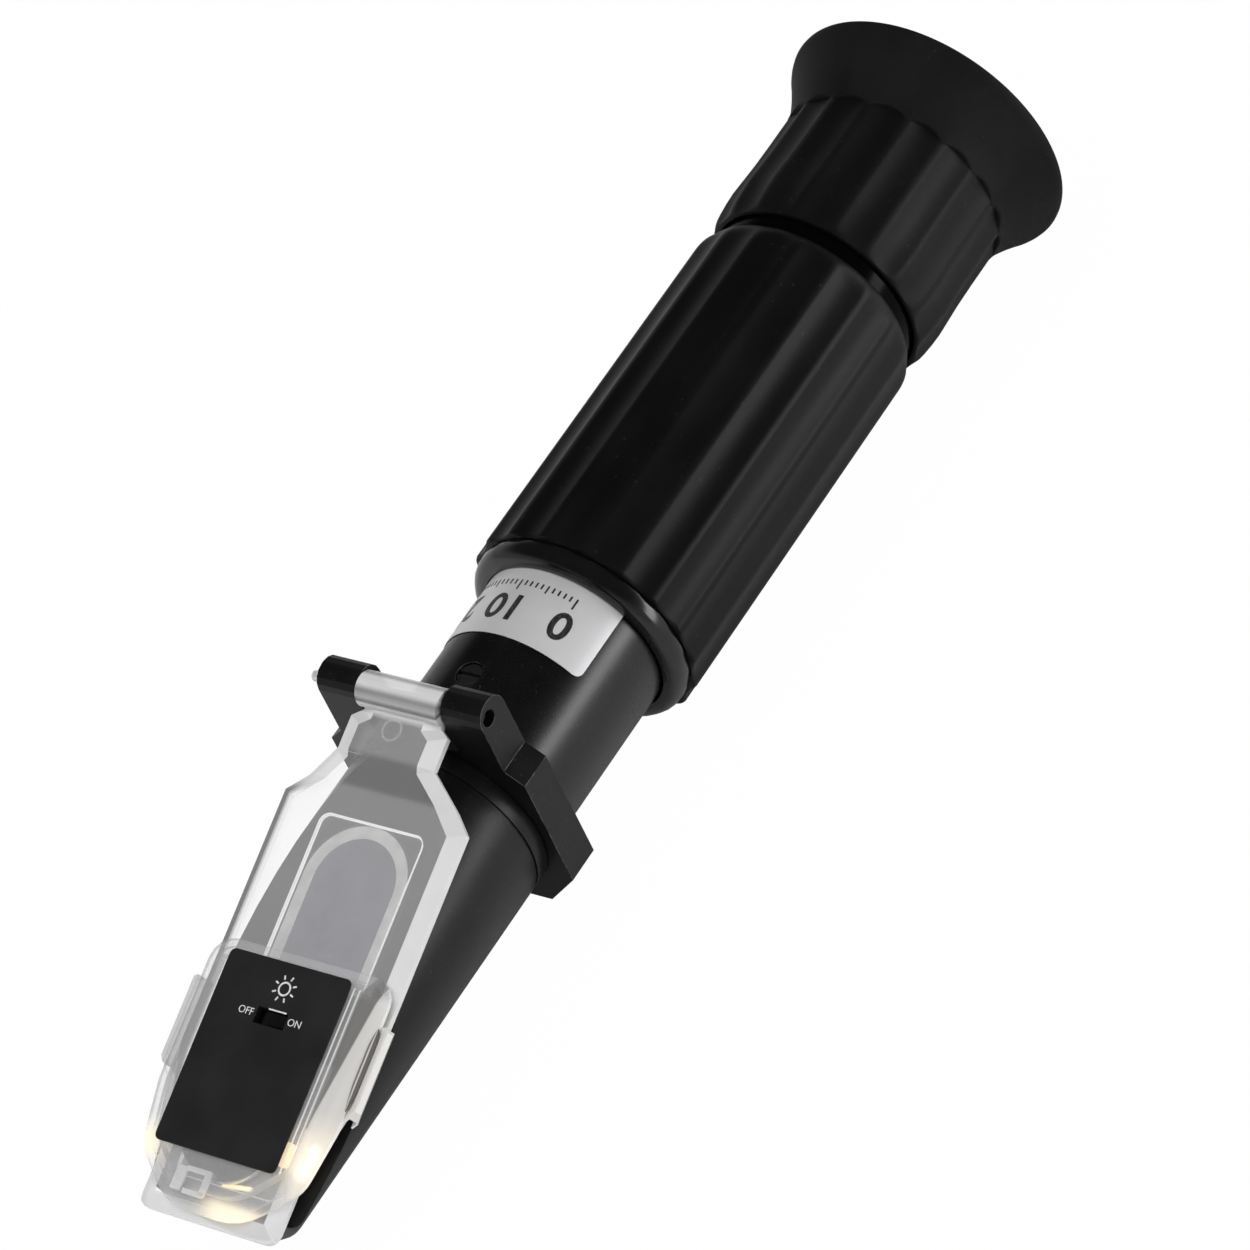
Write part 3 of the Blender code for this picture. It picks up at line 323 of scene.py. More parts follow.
class Plastic(Paint):
    """Milky clear plastic, with clouds and a fine grain."""

    def __init__(self, name):
        super().__init__(name, True, Specular_IOR_Level=0.8, Coat_Weight=0.4, Coat_Roughness=0.08,
                         Emission_Strength=1.0)
        self.cloud = self.noise(190, 4)
        self.grain = self.noise(2600, 2)

    def veil(self, dark=0.95):
        return self.varied(self.cloud, colours().plastic, 1.0, dark)

    def done(self, base, alpha, light=UNLIT):
        return self.feed(base, 0.24 + self.cloud.swing(0.1) + self.grain.swing(0.06),
                         (self.grain, 0.02, 0.000005), Emission_Color=light,
                         Alpha=alpha.smallest(0.97).largest(0.02))


# Finishes.


def metal_black(name, tone, roughness, grain, wear=0.5, gloss=0.26):
    """Anodised black metal, rubbed paler along its edges."""
    paint = Paint(name, Metallic=0.0, Specular_IOR_Level=gloss)
    fine = paint.noise(5200, 2)
    broad = paint.noise(210, 4)
    rub = paint.worn() * paint.noise(900).range(0.38, 0.62) * wear
    dust = paint.noise(2600, 1).range(0.7, 0.78)
    base = paint.varied(broad, tone, 0.75, 1.25)
    base = paint.mix(dust * 0.1, base, (0.25, 0.25, 0.25))
    base = paint.mix(rub, base, (0.16, 0.16, 0.165))
    rough = roughness + fine.swing(grain * 0.5) + broad.swing(0.08) - rub * 0.1
    return paint.feed(base, rough, (fine, grain, 0.00002))


def moulded_rubber(name, tone, roughness, gloss=0.17):
    """Satin rubber with a fine skin and specks of dust."""
    paint = Paint(name, Specular_IOR_Level=gloss)
    skin = paint.noise(3400, 3, 0.6)
    broad = paint.noise(130, 4, stretch=(0.5, 1.0, 1.0))
    speck = paint.noise(1900, 0).range(0.82, 0.85)
    base = paint.varied(broad, tone, 0.8, 1.3)
    base = paint.mix(speck * 0.07, base, (0.2, 0.2, 0.19))
    rough = roughness + broad.swing(0.14) + skin.swing(0.1)
    return paint.feed(base, rough, (skin, 0.22, 0.00003))


def gloss_black(name, roughness, gloss=0.5, depth=1.0):
    """Glossy black with faint swirls left by wiping; a depth under one darkens it as painted shade.
    """
    paint = Paint(name, Specular_IOR_Level=gloss)
    swirl = paint.noise(420, 4, stretch=(1.0, 3.0, 3.0))
    base = paint.mix(swirl, [0.003 * depth] * 3, [0.006 * depth] * 3)
    return paint.feed(base, roughness + swirl.swing(0.06), (paint.noise(4000, 2), 0.02, 0.000005))


def turned_steel(name, tone, roughness, direction, metallic=1.0, shaded_end=False):
    """Bright steel with turning lines and dull spots, its right end painted dark as the shade
    inside the ear's hole if shaded_end is set.
    """
    paint = Paint(name, Metallic=metallic)
    lines = paint.noise(260, stretch=direction)
    spots = paint.noise(1300, 4)
    base = paint.varied(spots, tone, 1.0, 0.7, 0.45, 0.75)
    if shaded_end:
        # Painted shade: the pin's right end, inside the ear's hole, is darkened.
        end = paint.split(paint.here)[1].range(-0.009, -0.0095)
        base = paint.mix(end, base, (0.012, 0.012, 0.012))
    rough = roughness + lines.swing(0.2) + spots.swing(0.12)
    return paint.feed(base, rough, (lines, 0.12, 0.00001))


def silver_foil(name):
    """Satin silver foil, brushed round the tube and duller at its cut edge."""
    paint = Paint(name, Metallic=0.25, Specular_IOR_Level=0.6)
    brushed = paint.noise(3800, 2, stretch=(1.0, 0.06, 0.06))
    cloud = paint.noise(160)
    base = paint.varied(cloud, colours().label, 1.0, 0.93, 0.35, 0.7)
    base = paint.mix(paint.worn() * 0.4, base, (0.35, 0.35, 0.36))
    return paint.feed(base, 0.36 + brushed.swing(0.14) + cloud.swing(0.1), (brushed, 0.05, 0.00001))


def optical(name, tint, alpha, roughness=0.04):
    """Polished glass, coated faintly violet, with a smear and dust."""
    paint = Paint(name, Specular_IOR_Level=0.9, Coat_Weight=0.4)
    smear = paint.noise(240, 4)
    dust = paint.noise(2400, 1).range(0.72, 0.78)
    base = paint.varied(smear, tint, 1.0, 0.7, 0.3, 0.75)
    base = paint.mix(dust * 0.3, base, (0.5, 0.5, 0.5))
    return paint.feed(base, roughness + smear.range(0.5, 0.8) * 0.12, Alpha=dust * 0.2 + alpha)


def sealant(name):
    """Cast grey sealant with small waves along the glass, with painted deep shade outside its bead.
    """
    paint = Paint(name, Specular_IOR_Level=0.4)
    wave = paint.noise(520)
    base = paint.mix(wave.range(0.3, 0.7), (0.46, 0.46, 0.45), (0.58, 0.58, 0.57))
    x, y, _ = paint.split(paint.on_plate())
    middle, half = (SEAL_NEAR + SEAL_FAR) / 2, (SEAL_NEAR - SEAL_FAR) / 2
    past = paint.past_outline(x, y, middle, (half + SEAL_HALF, SEAL_HALF), SEAL_HALF)
    base = paint.mix(past.range(-0.0001, 0.0001), base, DEEP_SHADE)
    return paint.feed(base, 0.42 + paint.noise(3000, 2).swing(0.2), (wave, 0.3, 0.00006))


def rolled_brass(name):
    """Brassy strip with rolling lines and a brown tarnish."""
    paint = Paint(name, Metallic=1.0)
    stain = paint.noise(420, 4).range(0.4, 0.7)
    return paint.feed(paint.mix(stain, (0.55, 0.42, 0.2), (0.3, 0.2, 0.1)),
                      0.32 + paint.noise(190, stretch=(1, 30, 30)).swing(0.25))


def solder_mask(name):
    """Green board with darker tracks, black below the switch."""
    paint = Paint(name, True, Specular_IOR_Level=0.5, Coat_Weight=0.5)
    track = paint.node("TexWave", {"Vector": paint.here, "Scale": 160.0, "Distortion": 1.2},
                       wave_type="BANDS", bands_direction="Y")
    base = paint.mix(track.range(0.45, 0.55), (0.03, 0.07, 0.045), (0.045, 0.1, 0.065))
    slot = paint.spot((*SWITCH_PLACE, -0.001), 0.006, 4.0).smallest(1.0)
    base = paint.mix(slot, base, (0.004, 0.004, 0.004))
    return paint.feed(base, 0.4 + paint.noise(2600, 2).swing(0.2), (track, 0.2, 0.00002))


def lamp_lens(name):
    """The lit lens of the lamp."""
    paint = Paint(name, True, Emission_Strength=0.6)
    grain = paint.noise(900, 2)
    light = paint.mix(grain.range(0.3, 0.7), HOT_LIGHT, (1.0, 0.8, 0.48))
    return paint.feed((1.0, 0.75, 0.35), 0.2 + grain.swing(0.1), Emission_Color=light)


def clear_plate(name):
    """The plate: whitest on its leaning borders, clearest on the ramp, with painted reflections on
    the barrel, painted shade on its left border and a faint painted glow.
    """
    paint = Plastic(name)
    x, y, z = paint.split(paint.here)
    past_pad = paint.past_outline(x, y, PAD_CENTRE, PAD_HALF, PAD_CORNER)

    # The borders lean outwards; the left one is clear along its inner part and painted dark along
    # the rest, as painted shade of the dark body seen through it.
    lean = abs(paint.facing((0, 1, 0))).range(0.1, 0.22)
    end = abs(paint.facing(PLATE_UP)).range(0.12, 0.25) * x.range(-0.06, -0.062)
    border = lean.largest(end) * past_pad.range(0.0004, 0.0008)
    left_side_shade = y.range(0.0, 0.003) * x.range(-0.0575, -0.0545) * x.range(-0.0118, -0.0142)

    # The pad underneath has a rim painted bright, with a little emitted light, and the ramp between
    # the two creases is darker.
    under = z.range(-0.003, -0.0033)
    pad = past_pad.range(0.0001, -0.0001) * under
    rim = abs(past_pad).range(0.0002, 0.00006) * under
    ramp = x.range(-0.0118, -0.011) * x.range(-0.0072, -0.008)
    creases = x.range(-0.0132, -0.0128) * x.range(-0.0064, -0.0068)

    flat = pad * 0.025 + rim * 0.7 - ramp * 0.06 + 0.175 + paint.cloud.swing(0.05)
    alpha = flat + border * (0.86 - flat)
    alpha = alpha - border * left_side_shade * z.range(-0.0026, -0.0022) * (alpha - 0.06)
    # Painted highlights along the rounded edges, none at the creases.
    alpha = alpha.largest(paint.worn() * (0.55 - creases * 0.55))

    # The barrel has painted reflections of the studio, in streaks round the pin.
    turn = paint.node("Math", {0: z, 1: x}, operation="ARCTAN2")
    stops = ((0.1, 0.85), (0.24, 0.28), (0.33, 0.95), (0.5, 0.97), (0.62, 0.35), (0.74, 0.6),
             (0.82, 0.12), (0.88, 0.97))
    painted_streak = paint.node("ValToRGB", {"Fac": turn * 0.3183}, stops=stops)
    barrel = x.range(-0.003, -0.0024)
    alpha = alpha + barrel * (0.7 - alpha)

    # Painted shade: the left border is tinted dark grey.
    base = paint.mix(border * left_side_shade * 0.78, paint.veil(), (0.06, 0.06, 0.06))
    base = paint.mix(barrel, base, painted_streak)
    # Painted light: a faint white glow over the plate's flat, and more on the pad's rim.
    painted_glow = (1 - border) * (1 - barrel) * (0.15 - ramp * 0.05)
    return paint.done(base, alpha, paint.mix(painted_glow.largest(rim * 0.4), UNLIT, WHITE))


def clear_shell(name, veil, wall):
    """The light box: clear, with painted highlights on its edges, a whiter cream-tinted right flank
    and the lamp's light painted in it.
    """
    paint = Plastic(name)
    x, y, z = paint.split(paint.here)

    # The lamp's light, painted as emission on the shell: a halo at either side and along the end
    # wall, and hot cores in beams.
    end_wall = y.range(0.0034, -0.003) * x.range(-0.063, -0.0649)
    halo = paint.spot(GLOW_RIGHT, 0.0072, 0.32) + paint.spot(GLOW_LEFT, 0.0042, 0.8)
    halo = (halo + end_wall * 0.64).smallest(1.0)
    beams = paint.noise(1500, 1, stretch=(0.12, 1.0, 0.3)).range(0.36, 0.6, 0.35)
    core = (sum(paint.spot(*each) for each in LAMP_CORES) * beams).smallest(1.0)
    light = paint.mix(core, paint.mix(halo, UNLIT, colours().glow), HOT_LIGHT)

    # Walls and flanks, with painted shade on the left flank and in the switch's slot.
    upright = abs(paint.facing(PLATE_NORMAL)).range(0.5, 0.25)
    right = y.range(-0.01, -0.0116) * x.range(-0.0345, -0.0365)
    left = y.range(0.0092, 0.011)
    slot = paint.spot((*SWITCH_PLACE, 0.0), 0.0044, 4.0).smallest(1.0)
    alpha = upright * wall + right * 0.5 + veil + paint.cloud.swing(0.06)
    alpha = alpha.largest(paint.worn() * (0.8 - slot * 0.8))
    alpha = alpha.largest(halo * 0.85).largest(core * 0.95)
    base = paint.mix(right * 0.5, paint.veil(), (0.9, 0.86, 0.8))
    base = paint.mix((left * 0.2).largest(slot), base, DEEP_SHADE)

    # A painted wedge of shadow beside the sticker, with two painted highlight lines at its right.
    wedge = (y.range(-0.0107, -0.011) * (y + (x + 0.0535) * 0.095).range(-0.0111, -0.0109)
             * x.range(-0.0535, -0.053) * z.range(-0.0018, -0.0014))
    lines = y.line(-0.0098, 0.00018, 0.00008).largest(y.line(-0.0106, 0.00016, 0.00006))
    lines = lines * z.range(0.0005, 0.0006) * x.range(-0.06, -0.059)
    alpha = alpha.largest(wedge * 0.62).largest(lines * 0.92)
    return paint.done(paint.mix(wedge * 0.8, base, (0.09, 0.088, 0.085)), alpha, light)


def clear_base(name):
    """The light box's clear floor, with a painted streak of the lamp's light along it."""
    paint = Plastic(name)
    x, y, _ = paint.split(paint.here)
    painted_streak = (x + y * 0.12).line(-0.0622, 0.0004, 0.00015) * y.range(-0.0006, -0.0012)
    painted_streak = painted_streak * y.range(-0.0056, -0.0048) * paint.facing(PLATE_NORMAL).range(0.8, 0.95)
    alpha = (0.12 + paint.cloud.swing(0.06)).largest(painted_streak * 0.95).largest(paint.worn() * 0.4)
    return paint.done(colours().plastic, alpha, paint.mix(painted_streak, UNLIT, (1.0, 0.78, 0.22)))


def moulded_mark(name, alpha):
    """Small mouldings of the clear plastic that catch the light."""
    paint = Plastic(name)
    return paint.done(paint.veil(0.9), (paint.worn() * 0.2 + alpha).largest(0.0))


def shadowed(name):
    """Painted shade of a slot, as a brown-grey sheet darkest at its ends."""
    paint = Paint(name, True, Specular_IOR_Level=0.3)
    x = paint.split(paint.here)[0]
    ends = x.line(-0.0444, 0.003, 0.0053) * 0.4 + paint.noise(420).swing(0.3)
    base = paint.mix(ends.largest(0.0), (0.15, 0.142, 0.132), (0.08, 0.075, 0.07))
    return paint.feed(base, 0.45 + paint.noise(2600, 2).swing(0.2))


def printed_film(name):
    """Charcoal film with a fine satin grain and a paler cut edge."""
    paint = Paint(name, True, Specular_IOR_Level=0.35)
    grain = paint.noise(3600, 2)
    base = paint.varied(paint.noise(120), colours().film, 0.85, 1.25)
    base = paint.mix(paint.worn() * 0.5, base, (0.1, 0.1, 0.1))
    return paint.feed(base, 0.46 + grain.swing(0.16), (grain, 0.1, 0.00001))


def ink(name, plate, dark, pale, spread, rough):
    """Screen print with small uneven places."""
    paint = Paint(name, plate)
    grain = paint.noise(2400)
    base = paint.mix(grain.range(*spread), dark, pale)
    return paint.feed(base, rough + grain.swing(0.2))


@cache
def finish(name):
    """The finish of this name, made once."""
    tones = colours()
    makers = {
        "body_metal": (metal_black, tones.anodised, 0.36, 0.3),
        "collar_metal": (metal_black, tones.anodised, 0.4, 0.3, 0.8),
        "tube_metal": (metal_black, [c * 0.5 for c in tones.anodised], 0.27, 0.05, 0.5, 0.52),
        "inner_metal": (metal_black, tones.anodised, 0.55, 0.3),
        "grip_rubber": (moulded_rubber, tones.rubber, 0.44),
        "focus_rubber": (moulded_rubber, [c * 1.3 for c in tones.rubber], 0.54),
        "eyecup_rubber": (moulded_rubber, tones.cup, 0.62, 0.1),
        # The sleeve's low depth darkens it as painted shade of the groove it sits in; the lens
        # retainer shares it.
        "sleeve_gloss": (gloss_black, 0.14, 0.05, 0.25),
        "ring_gloss": (gloss_black, 0.18), "knob_gloss": (gloss_black, 0.24),
        "pin_steel": (turned_steel, (0.82, 0.81, 0.8), 0.34, (40, 1, 40), 0.25, True),
        # The screw's near-black tone is painted shade of its recess.
        "screw_steel": (turned_steel, (0.03, 0.03, 0.03), 0.3, (40, 40, 1), 0.6),
        "cell_steel": (turned_steel, (0.6, 0.6, 0.6), 0.22, (3, 3, 3)),
        "contact_steel": (turned_steel, (0.8, 0.8, 0.79), 0.2, (1, 30, 1)),
        "label_foil": (silver_foil,),
        "prism_glass": (optical, (0.125, 0.115, 0.165), 0.88, 0.08),
        "lens_glass": (optical, (0.1, 0.1, 0.16), 0.3),
        "seal_grey": (sealant,), "strip_brass": (rolled_brass,), "board_mask": (solder_mask,),
        "lamp_lens": (lamp_lens,), "plate_plastic": (clear_plate,),
        "shell_plastic": (clear_shell, 0.22, 0.26),
        "base_plastic": (clear_base,),
        "ring_plastic": (moulded_mark, 0.14), "clip_plastic": (moulded_mark, 0.9),
        # The slot's finish is painted shade.
        "slot_grey": (shadowed,), "sticker_film": (printed_film,),
        # Pale ink for the print, also used for a painted highlight by the switch's slot.
        "pale_ink": (ink, True, tones.ink, [c * 0.8 for c in tones.ink], (0.35, 0.7), 0.5),
        "dark_ink": (ink, False, (0.012,) * 3, (0.05,) * 3, (0.35, 0.75), 0.4),
    }
    maker, *settings = makers[name]
    return maker(name, *settings)


# Shaping.


def from_node(node):
    """The closed shape of a CAD node, with its flat faces whole again."""
    shape = bmesh.new()
    shape.from_mesh(frame["nodes"][node].data)
    bmesh.ops.remove_doubles(shape, verts=shape.verts, dist=MERGE)
    bmesh.ops.dissolve_limit(shape, angle_limit=radians(0.4), verts=shape.verts, edges=shape.edges)
    return shape


def soften(shape, width, segments=2, angle=25.0):
    """Rounds the sharp edges, and marks them for wear and for painted edge highlights."""
    sharp = [edge for edge in shape.edges
             if len(edge.link_faces) == 2 and edge.calc_face_angle() > radians(angle)]
    worn = shape.verts.layers.float.new("worn")
    round_face = shape.faces.layers.int.new("round_face")
    made = bmesh.ops.bevel(shape, geom=sharp, offset=width, offset_type="OFFSET", affect="EDGES",
                           segments=segments, profile=0.5, material=-1, clamp_overlap=True)
    rounded = set(made["faces"])
    for face in rounded:
        face[round_face] = 1
    for vertex in shape.verts:
        if vertex.link_faces and all(face in rounded for face in vertex.link_faces):
            vertex[worn] = 1.0


def shade(shape, angle=32.0, large=1.0):
    """Smooths the round faces; large ones and lone ones among rounded edges stay flat."""
    round_face = shape.faces.layers.int.get("round_face")
    for face in shape.faces:
        face.smooth = True
        if round_face and not face[round_face]:
            near = [other for edge in face.edges for other in edge.link_faces if other != face]
            area = face.calc_area()
            face.smooth = area < SMALL_FACE or area < large and any(
                not other[round_face] and 0.01 < face.normal.angle(other.normal, 0) < 0.19
                for other in near)
    for edge in shape.edges:
        if len(edge.link_faces) == 2:
            edge.smooth = edge.calc_face_angle() < radians(angle)


def placed(name, data):
    """A new object in the scene."""
    item = bpy.data.objects.new(name, data)
    bpy.context.scene.collection.objects.link(item)
    return item


def meshed(name, shape):
    """A shape's mesh; the shape itself is freed."""
    mesh = bpy.data.meshes.new(name)
    shape.to_mesh(mesh)
    shape.free()
    return mesh


def settle(name, shape, material, body, slot, *nodes):
    """Makes a finished shape a piece that rides on a body and stands for CAD nodes."""
    piece = placed(name, meshed(name, shape))
    piece.data.materials.append(finish(material))
    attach(piece, body)
    if nodes:
        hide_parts(*nodes)


def softened(body, node, name, width, material, slot, segments=2, angle=25.0, large=1.0):
    """A piece with the shape of its node and rounded edges."""
    shape = from_node(node)
    soften(shape, width, segments, angle)
    shade(shape, large=large)
    settle(name, shape, material, body, slot, node)


def refinish(node, material):
    """A CAD node that keeps its shape, with a better finish."""
    item = frame["nodes"][node]
    for place in item.material_slots:
        place.material = finish(material)
    if not item.material_slots:
        item.data.materials.append(finish(material))


def radius_of(node):
    """The outer radius of a node that is round about the optical axis."""
    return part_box(node)[1].z - AXIS_HEIGHT


def flute_cut(angle, phase, ridge=0.16):
    """Depth of a flute at an angle round the axis, from 0 on a ridge to 1 in its middle."""
    place = abs(((angle - phase) * FLUTES / (2 * pi) + 0.5) % 1 - 0.5) * 2
    share = min(1.0, max(0.0, (place - ridge) / (1 - ridge)))
    return sin(pi / 2 * share) ** 0.9


def lofted(loops, joined=True):
    """A skin through loops of as many points each, its two ends joined or capped."""
    shape = bmesh.new()
    row = [shape.verts.new(point) for point in loops[0]]
    edges = [shape.edges.new(pair) for pair in zip(row, row[1:] + row[:1])]
    for points in loops[1:]:
        grown = bmesh.ops.extrude_edge_only(shape, edges=edges)["geom"]
        fresh = {item for item in grown if isinstance(item, bmesh.types.BMVert)}
        row = [next(edge.other_vert(vertex) for edge in vertex.link_edges
                    if edge.other_vert(vertex) in fresh) for vertex in row]
        for vertex, point in zip(row, points):
            vertex.co = point
        edges = [item for item in grown
                 if isinstance(item, bmesh.types.BMEdge) and set(item.verts) <= fresh]
    ends = [edge for edge in shape.edges if edge.is_boundary]
    if joined:
        bmesh.ops.bridge_loops(shape, edges=ends)
    else:
        bmesh.ops.holes_fill(shape, edges=ends)
    bmesh.ops.recalc_face_normals(shape, faces=shape.faces)
    return shape


def drawn_out(rings, place_at, columns):
    """A tube round the optical axis; place_at gives the (x, radius) of a ring at an angle."""
    loops = []
    for ring in rings:
        loop = []
        for k in range(columns):
            angle = 2 * pi * k / columns
            x, radius = place_at(ring, angle)
            loop.append((x, radius * sin(angle), radius * cos(angle)))
        loops.append(loop)
    shape = lofted(loops)
    move(shape, (0, 0, AXIS_HEIGHT))
    return shape


def fluted(rings, phase):
    """A tube of (x, radius, share of the flutes' depth) rings."""
    depth = sizes().flute_depth

    def place_at(ring, angle):
        return ring[0], ring[1] - depth * ring[2] * flute_cut(angle, phase)

    shape = drawn_out(rings, place_at, FLUTES * 18)
    shade(shape, 40)
    return shape


def along(profile, x):
    """The radius of a profile of (x, radius) points at a place between them."""
    for (x0, r0), (x1, r1) in zip(profile, profile[1:]):
        if x <= x1:
            share = max(0.0, (x - x0) / (x1 - x0))
            return r0 + (r1 - r0) * share
    return profile[-1][1]


def stadium(half, near, far, steps=32):
    """The points of a stadium on the plate, from the centre of one arc to the other's."""
    turns = [pi * (k / steps - 0.5) for k in range(steps + 1)]
    upper = [(near + half * cos(a), half * sin(a)) for a in turns]
    lower = [(far - half * cos(a), -half * sin(a)) for a in turns]
    return upper + lower


def ring_points(centre, radius, height, steps=40):
    """The points of a level circle."""
    return [(centre[0] + radius * cos(2 * pi * k / steps),
             centre[1] + radius * sin(2 * pi * k / steps), height) for k in range(steps)]


def bar(low, high):
    """A block between two corners."""
    shape = bmesh.new()
    bmesh.ops.create_cube(shape, size=1)
    bmesh.ops.scale(shape, verts=shape.verts, vec=[b - a for a, b in zip(low, high)])
    move(shape, [(a + b) / 2 for a, b in zip(low, high)])
    return shape


def move(shape, way):
    bmesh.ops.translate(shape, verts=shape.verts, vec=way)


def turn(shape, angle):
    """Turns a shape about the upright axis."""
    bmesh.ops.rotate(shape, verts=shape.verts, cent=(0, 0, 0),
                     matrix=Matrix.Rotation(angle, 3, "Z"))


def united(shapes):
    """One shape from several."""
    whole = bmesh.new()
    for shape in shapes:
        mesh = meshed("part", shape)
        whole.from_mesh(mesh)
        bpy.data.meshes.remove(mesh)
    return whole


def onto_plate(shape):
    """Moves a shape made in the plate's own frame onto the plate."""
    bmesh.ops.transform(shape, matrix=PLATE_FRAME, verts=shape.verts)
    return shape


def lettering(words, size, thickness, weight=0.0):
    """Plain figures as a thin level solid, centred on the origin."""
    curve = bpy.data.curves.new("figures", "FONT")
    curve.body = words
    curve.size = size
    curve.align_x = curve.align_y = "CENTER"
    curve.extrude = thickness / 2
    curve.resolution_u = 5
    curve.offset = weight
    item = placed("figures", curve)
    solid = item.evaluated_get(bpy.context.evaluated_depsgraph_get())
    mesh = bpy.data.meshes.new_from_object(solid)
    shape = bmesh.new()
    shape.from_mesh(mesh)
    bpy.data.objects.remove(item)
    bpy.data.curves.remove(curve)
    bpy.data.meshes.remove(mesh)
    bmesh.ops.remove_doubles(shape, verts=shape.verts, dist=MERGE)
    return shape


# Operators.


class Step(bpy.types.Operator):
    """A step of building the refractometer"""
    bl_options = {"REGISTER", "UNDO"}

    def execute(self, context):
        self.build()
        return {"FINISHED"}


class BRIX_OT_prism(Step):
    """Builds the prism body, its prism and the seal round it"""
    bl_idname = "brix.prism"
    bl_label = "Prism end"

    def build(self):
        softened("tube", "prism_body", "body_casting", sizes().edge, "body_metal",
                 "black_anodised", 3)
        softened("tube", "measuring_prism", "polished_prism", 0.00012, "prism_glass",
                 "optical_glass")
        # Half widths of the bead and their rises over the sample face, from outside to inside.
        section = [(0.00798, -0.0018), (0.00798, -0.0001), (0.0079, -0.00002), (0.00768, 0.00003),
                   (0.0073, 0.00008), (0.0068, 0.0001), (0.0064, 0.00008), (0.0061, 0.00004),
                   (0.006, 0.00001), (0.006, -0.00006), (0.0066, -0.0006), (0.0066, -0.0018)]
        loops = [[(x, y, SAMPLE_RISE + rise) for x, y in stadium(half, SEAL_NEAR, SEAL_FAR)]
                 for half, rise in section]
        shape = onto_plate(lofted(loops))
        shade(shape, 50)
        settle("seal_bead", shape, "seal_grey", "tube", "grey_sealant", "prism_seal")


class BRIX_OT_collar(Step):
    """Builds the hinge collar and its pin"""
    bl_idname = "brix.collar"
    bl_label = "Hinge collar"

    def build(self):
        softened("tube", "hinge_collar", "collar_block", sizes().edge, "collar_metal",
                 "black_anodised", 3)
        low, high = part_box("hinge_pin")
        radius = (high.z - low.z) / 2
        ends = [(low.y, 0.75), (low.y + 0.0002, 1.0), (high.y + 0.0002, 1.0),
                (high.y + 0.00042, 0.9), (high.y + 0.0005, 0.6)]
        loops = [[(x, y, z) for x, z, y in ring_points((0, 0), radius * share, place, 32)]
                 for place, share in ends]
        shape = lofted(loops, joined=False)
        move(shape, HINGE["pos_m"])
        shade(shape, 40)
        settle("steel_pin", shape, "pin_steel", "tube", "bright_steel", "hinge_pin")


class BRIX_OT_tube(Step):
    """Builds the main tube, its label and the calibration screw"""
    bl_idname = "brix.tube"
    bl_label = "Tube"

    FIRST_FIGURE = -0.0066
    FIGURE_PITCH = 0.0081
    TICK_PITCH = 0.00081
    TICK_HALF = 0.00012
    TICK_FOOT = -0.0036
    INK_HALF = 0.00001

    def build(self):
        softened("tube", "main_tube", "tube_barrel", 0.00012, "tube_metal", "black_anodised")
        softened("calibration", "calibration_screw", "slotted_screw", 0.00008, "screw_steel",
                 "bright_steel")
        softened("tube", "tube_label", "foil_label", sizes().print_edge, "label_foil",
                 "silver_label", 1)
        self.figures()

    def figures(self):
        """A plain scale round the label, read from the prism's end."""
        radius = radius_of("tube_label") + self.INK_HALF
        shapes = []
        for k, words in enumerate(("0", "10", "20")):
            shape = lettering(words, 0.0056, 2 * self.INK_HALF, 0.00012)
            move(shape, (self.FIRST_FIGURE + self.FIGURE_PITCH * k, 0.0006, 0))
            shapes.append(shape)
        for k in range(25):
            tall = 0.0016 if k % 10 == 0 else 0.0012 if k % 5 == 0 else 0.0008
            arc = self.FIRST_FIGURE + self.TICK_PITCH * k
            shapes.append(bar((arc - self.TICK_HALF, self.TICK_FOOT, -self.INK_HALF),
                              (arc + self.TICK_HALF, self.TICK_FOOT + tall, self.INK_HALF)))
        shape = united(shapes)
        # Cut into narrow strips, so that the figures bend with the tube.
        for k in range(-25, 36):
            everything = shape.verts[:] + shape.edges[:] + shape.faces[:]
            bmesh.ops.bisect_plane(shape, geom=everything, dist=MERGE,
                                   plane_co=(0.0004 * k + 0.0001, 0, 0), plane_no=(1, 0, 0))
        for vertex in shape.verts:
            arc, rise, height = vertex.co
            angle = arc / radius
            reach = radius + height
            vertex.co = (LABEL_PLACE - rise, reach * sin(angle), AXIS_HEIGHT + reach * cos(angle))
        settle("label_figures", shape, "dark_ink", "tube", "black_anodised")


class BRIX_OT_grip(Step):
    """Builds the glossy shoulder ring, the fluted grip and the threaded sleeve"""
    bl_idname = "brix.grip"
    bl_label = "Grip"

    # Distances from the grip's far end, drops of its radius and shares of the flutes' depth.
    FAR_END = ((0.0036, 0.0, 1.0), (0.003, 0.00002, 0.97), (0.0024, 0.00008, 0.85),
               (0.0018, 0.00018, 0.62), (0.0012, 0.00036, 0.36), (0.0006, 0.00066, 0.12),
               (0.0002, 0.0009, 0.02), (0.0, 0.0011, 0.0))

    def build(self):
        softened("tube", "shoulder_ring", "shoulder_bead", 0.00012, "ring_gloss", "gloss_black",
                 angle=40)
        softened("tube", "thread_sleeve", "sleeve_band", 0.00012, "sleeve_gloss", "gloss_black")
        low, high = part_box("grip_sleeve")
        radius = radius_of("grip_sleeve")
        bore = radius_of("main_tube") + 0.0003
        start, end, edge = low.x, high.x, sizes().grip_edge
        rings = [(start, radius - edge * 1.1, 0.5), (start + edge * 0.3, radius - edge * 0.35, 0.9),
                 (start + edge, radius, 1.0)]
        rings += [(end - back, radius - drop, share) for back, drop, share in self.FAR_END]
        rings += [(end, bore, 0.0), (start, bore, 0.0)]
        settle("fluted_grip", fluted(rings, 0.0), "grip_rubber", "tube", "black_rubber",
               "grip_sleeve")


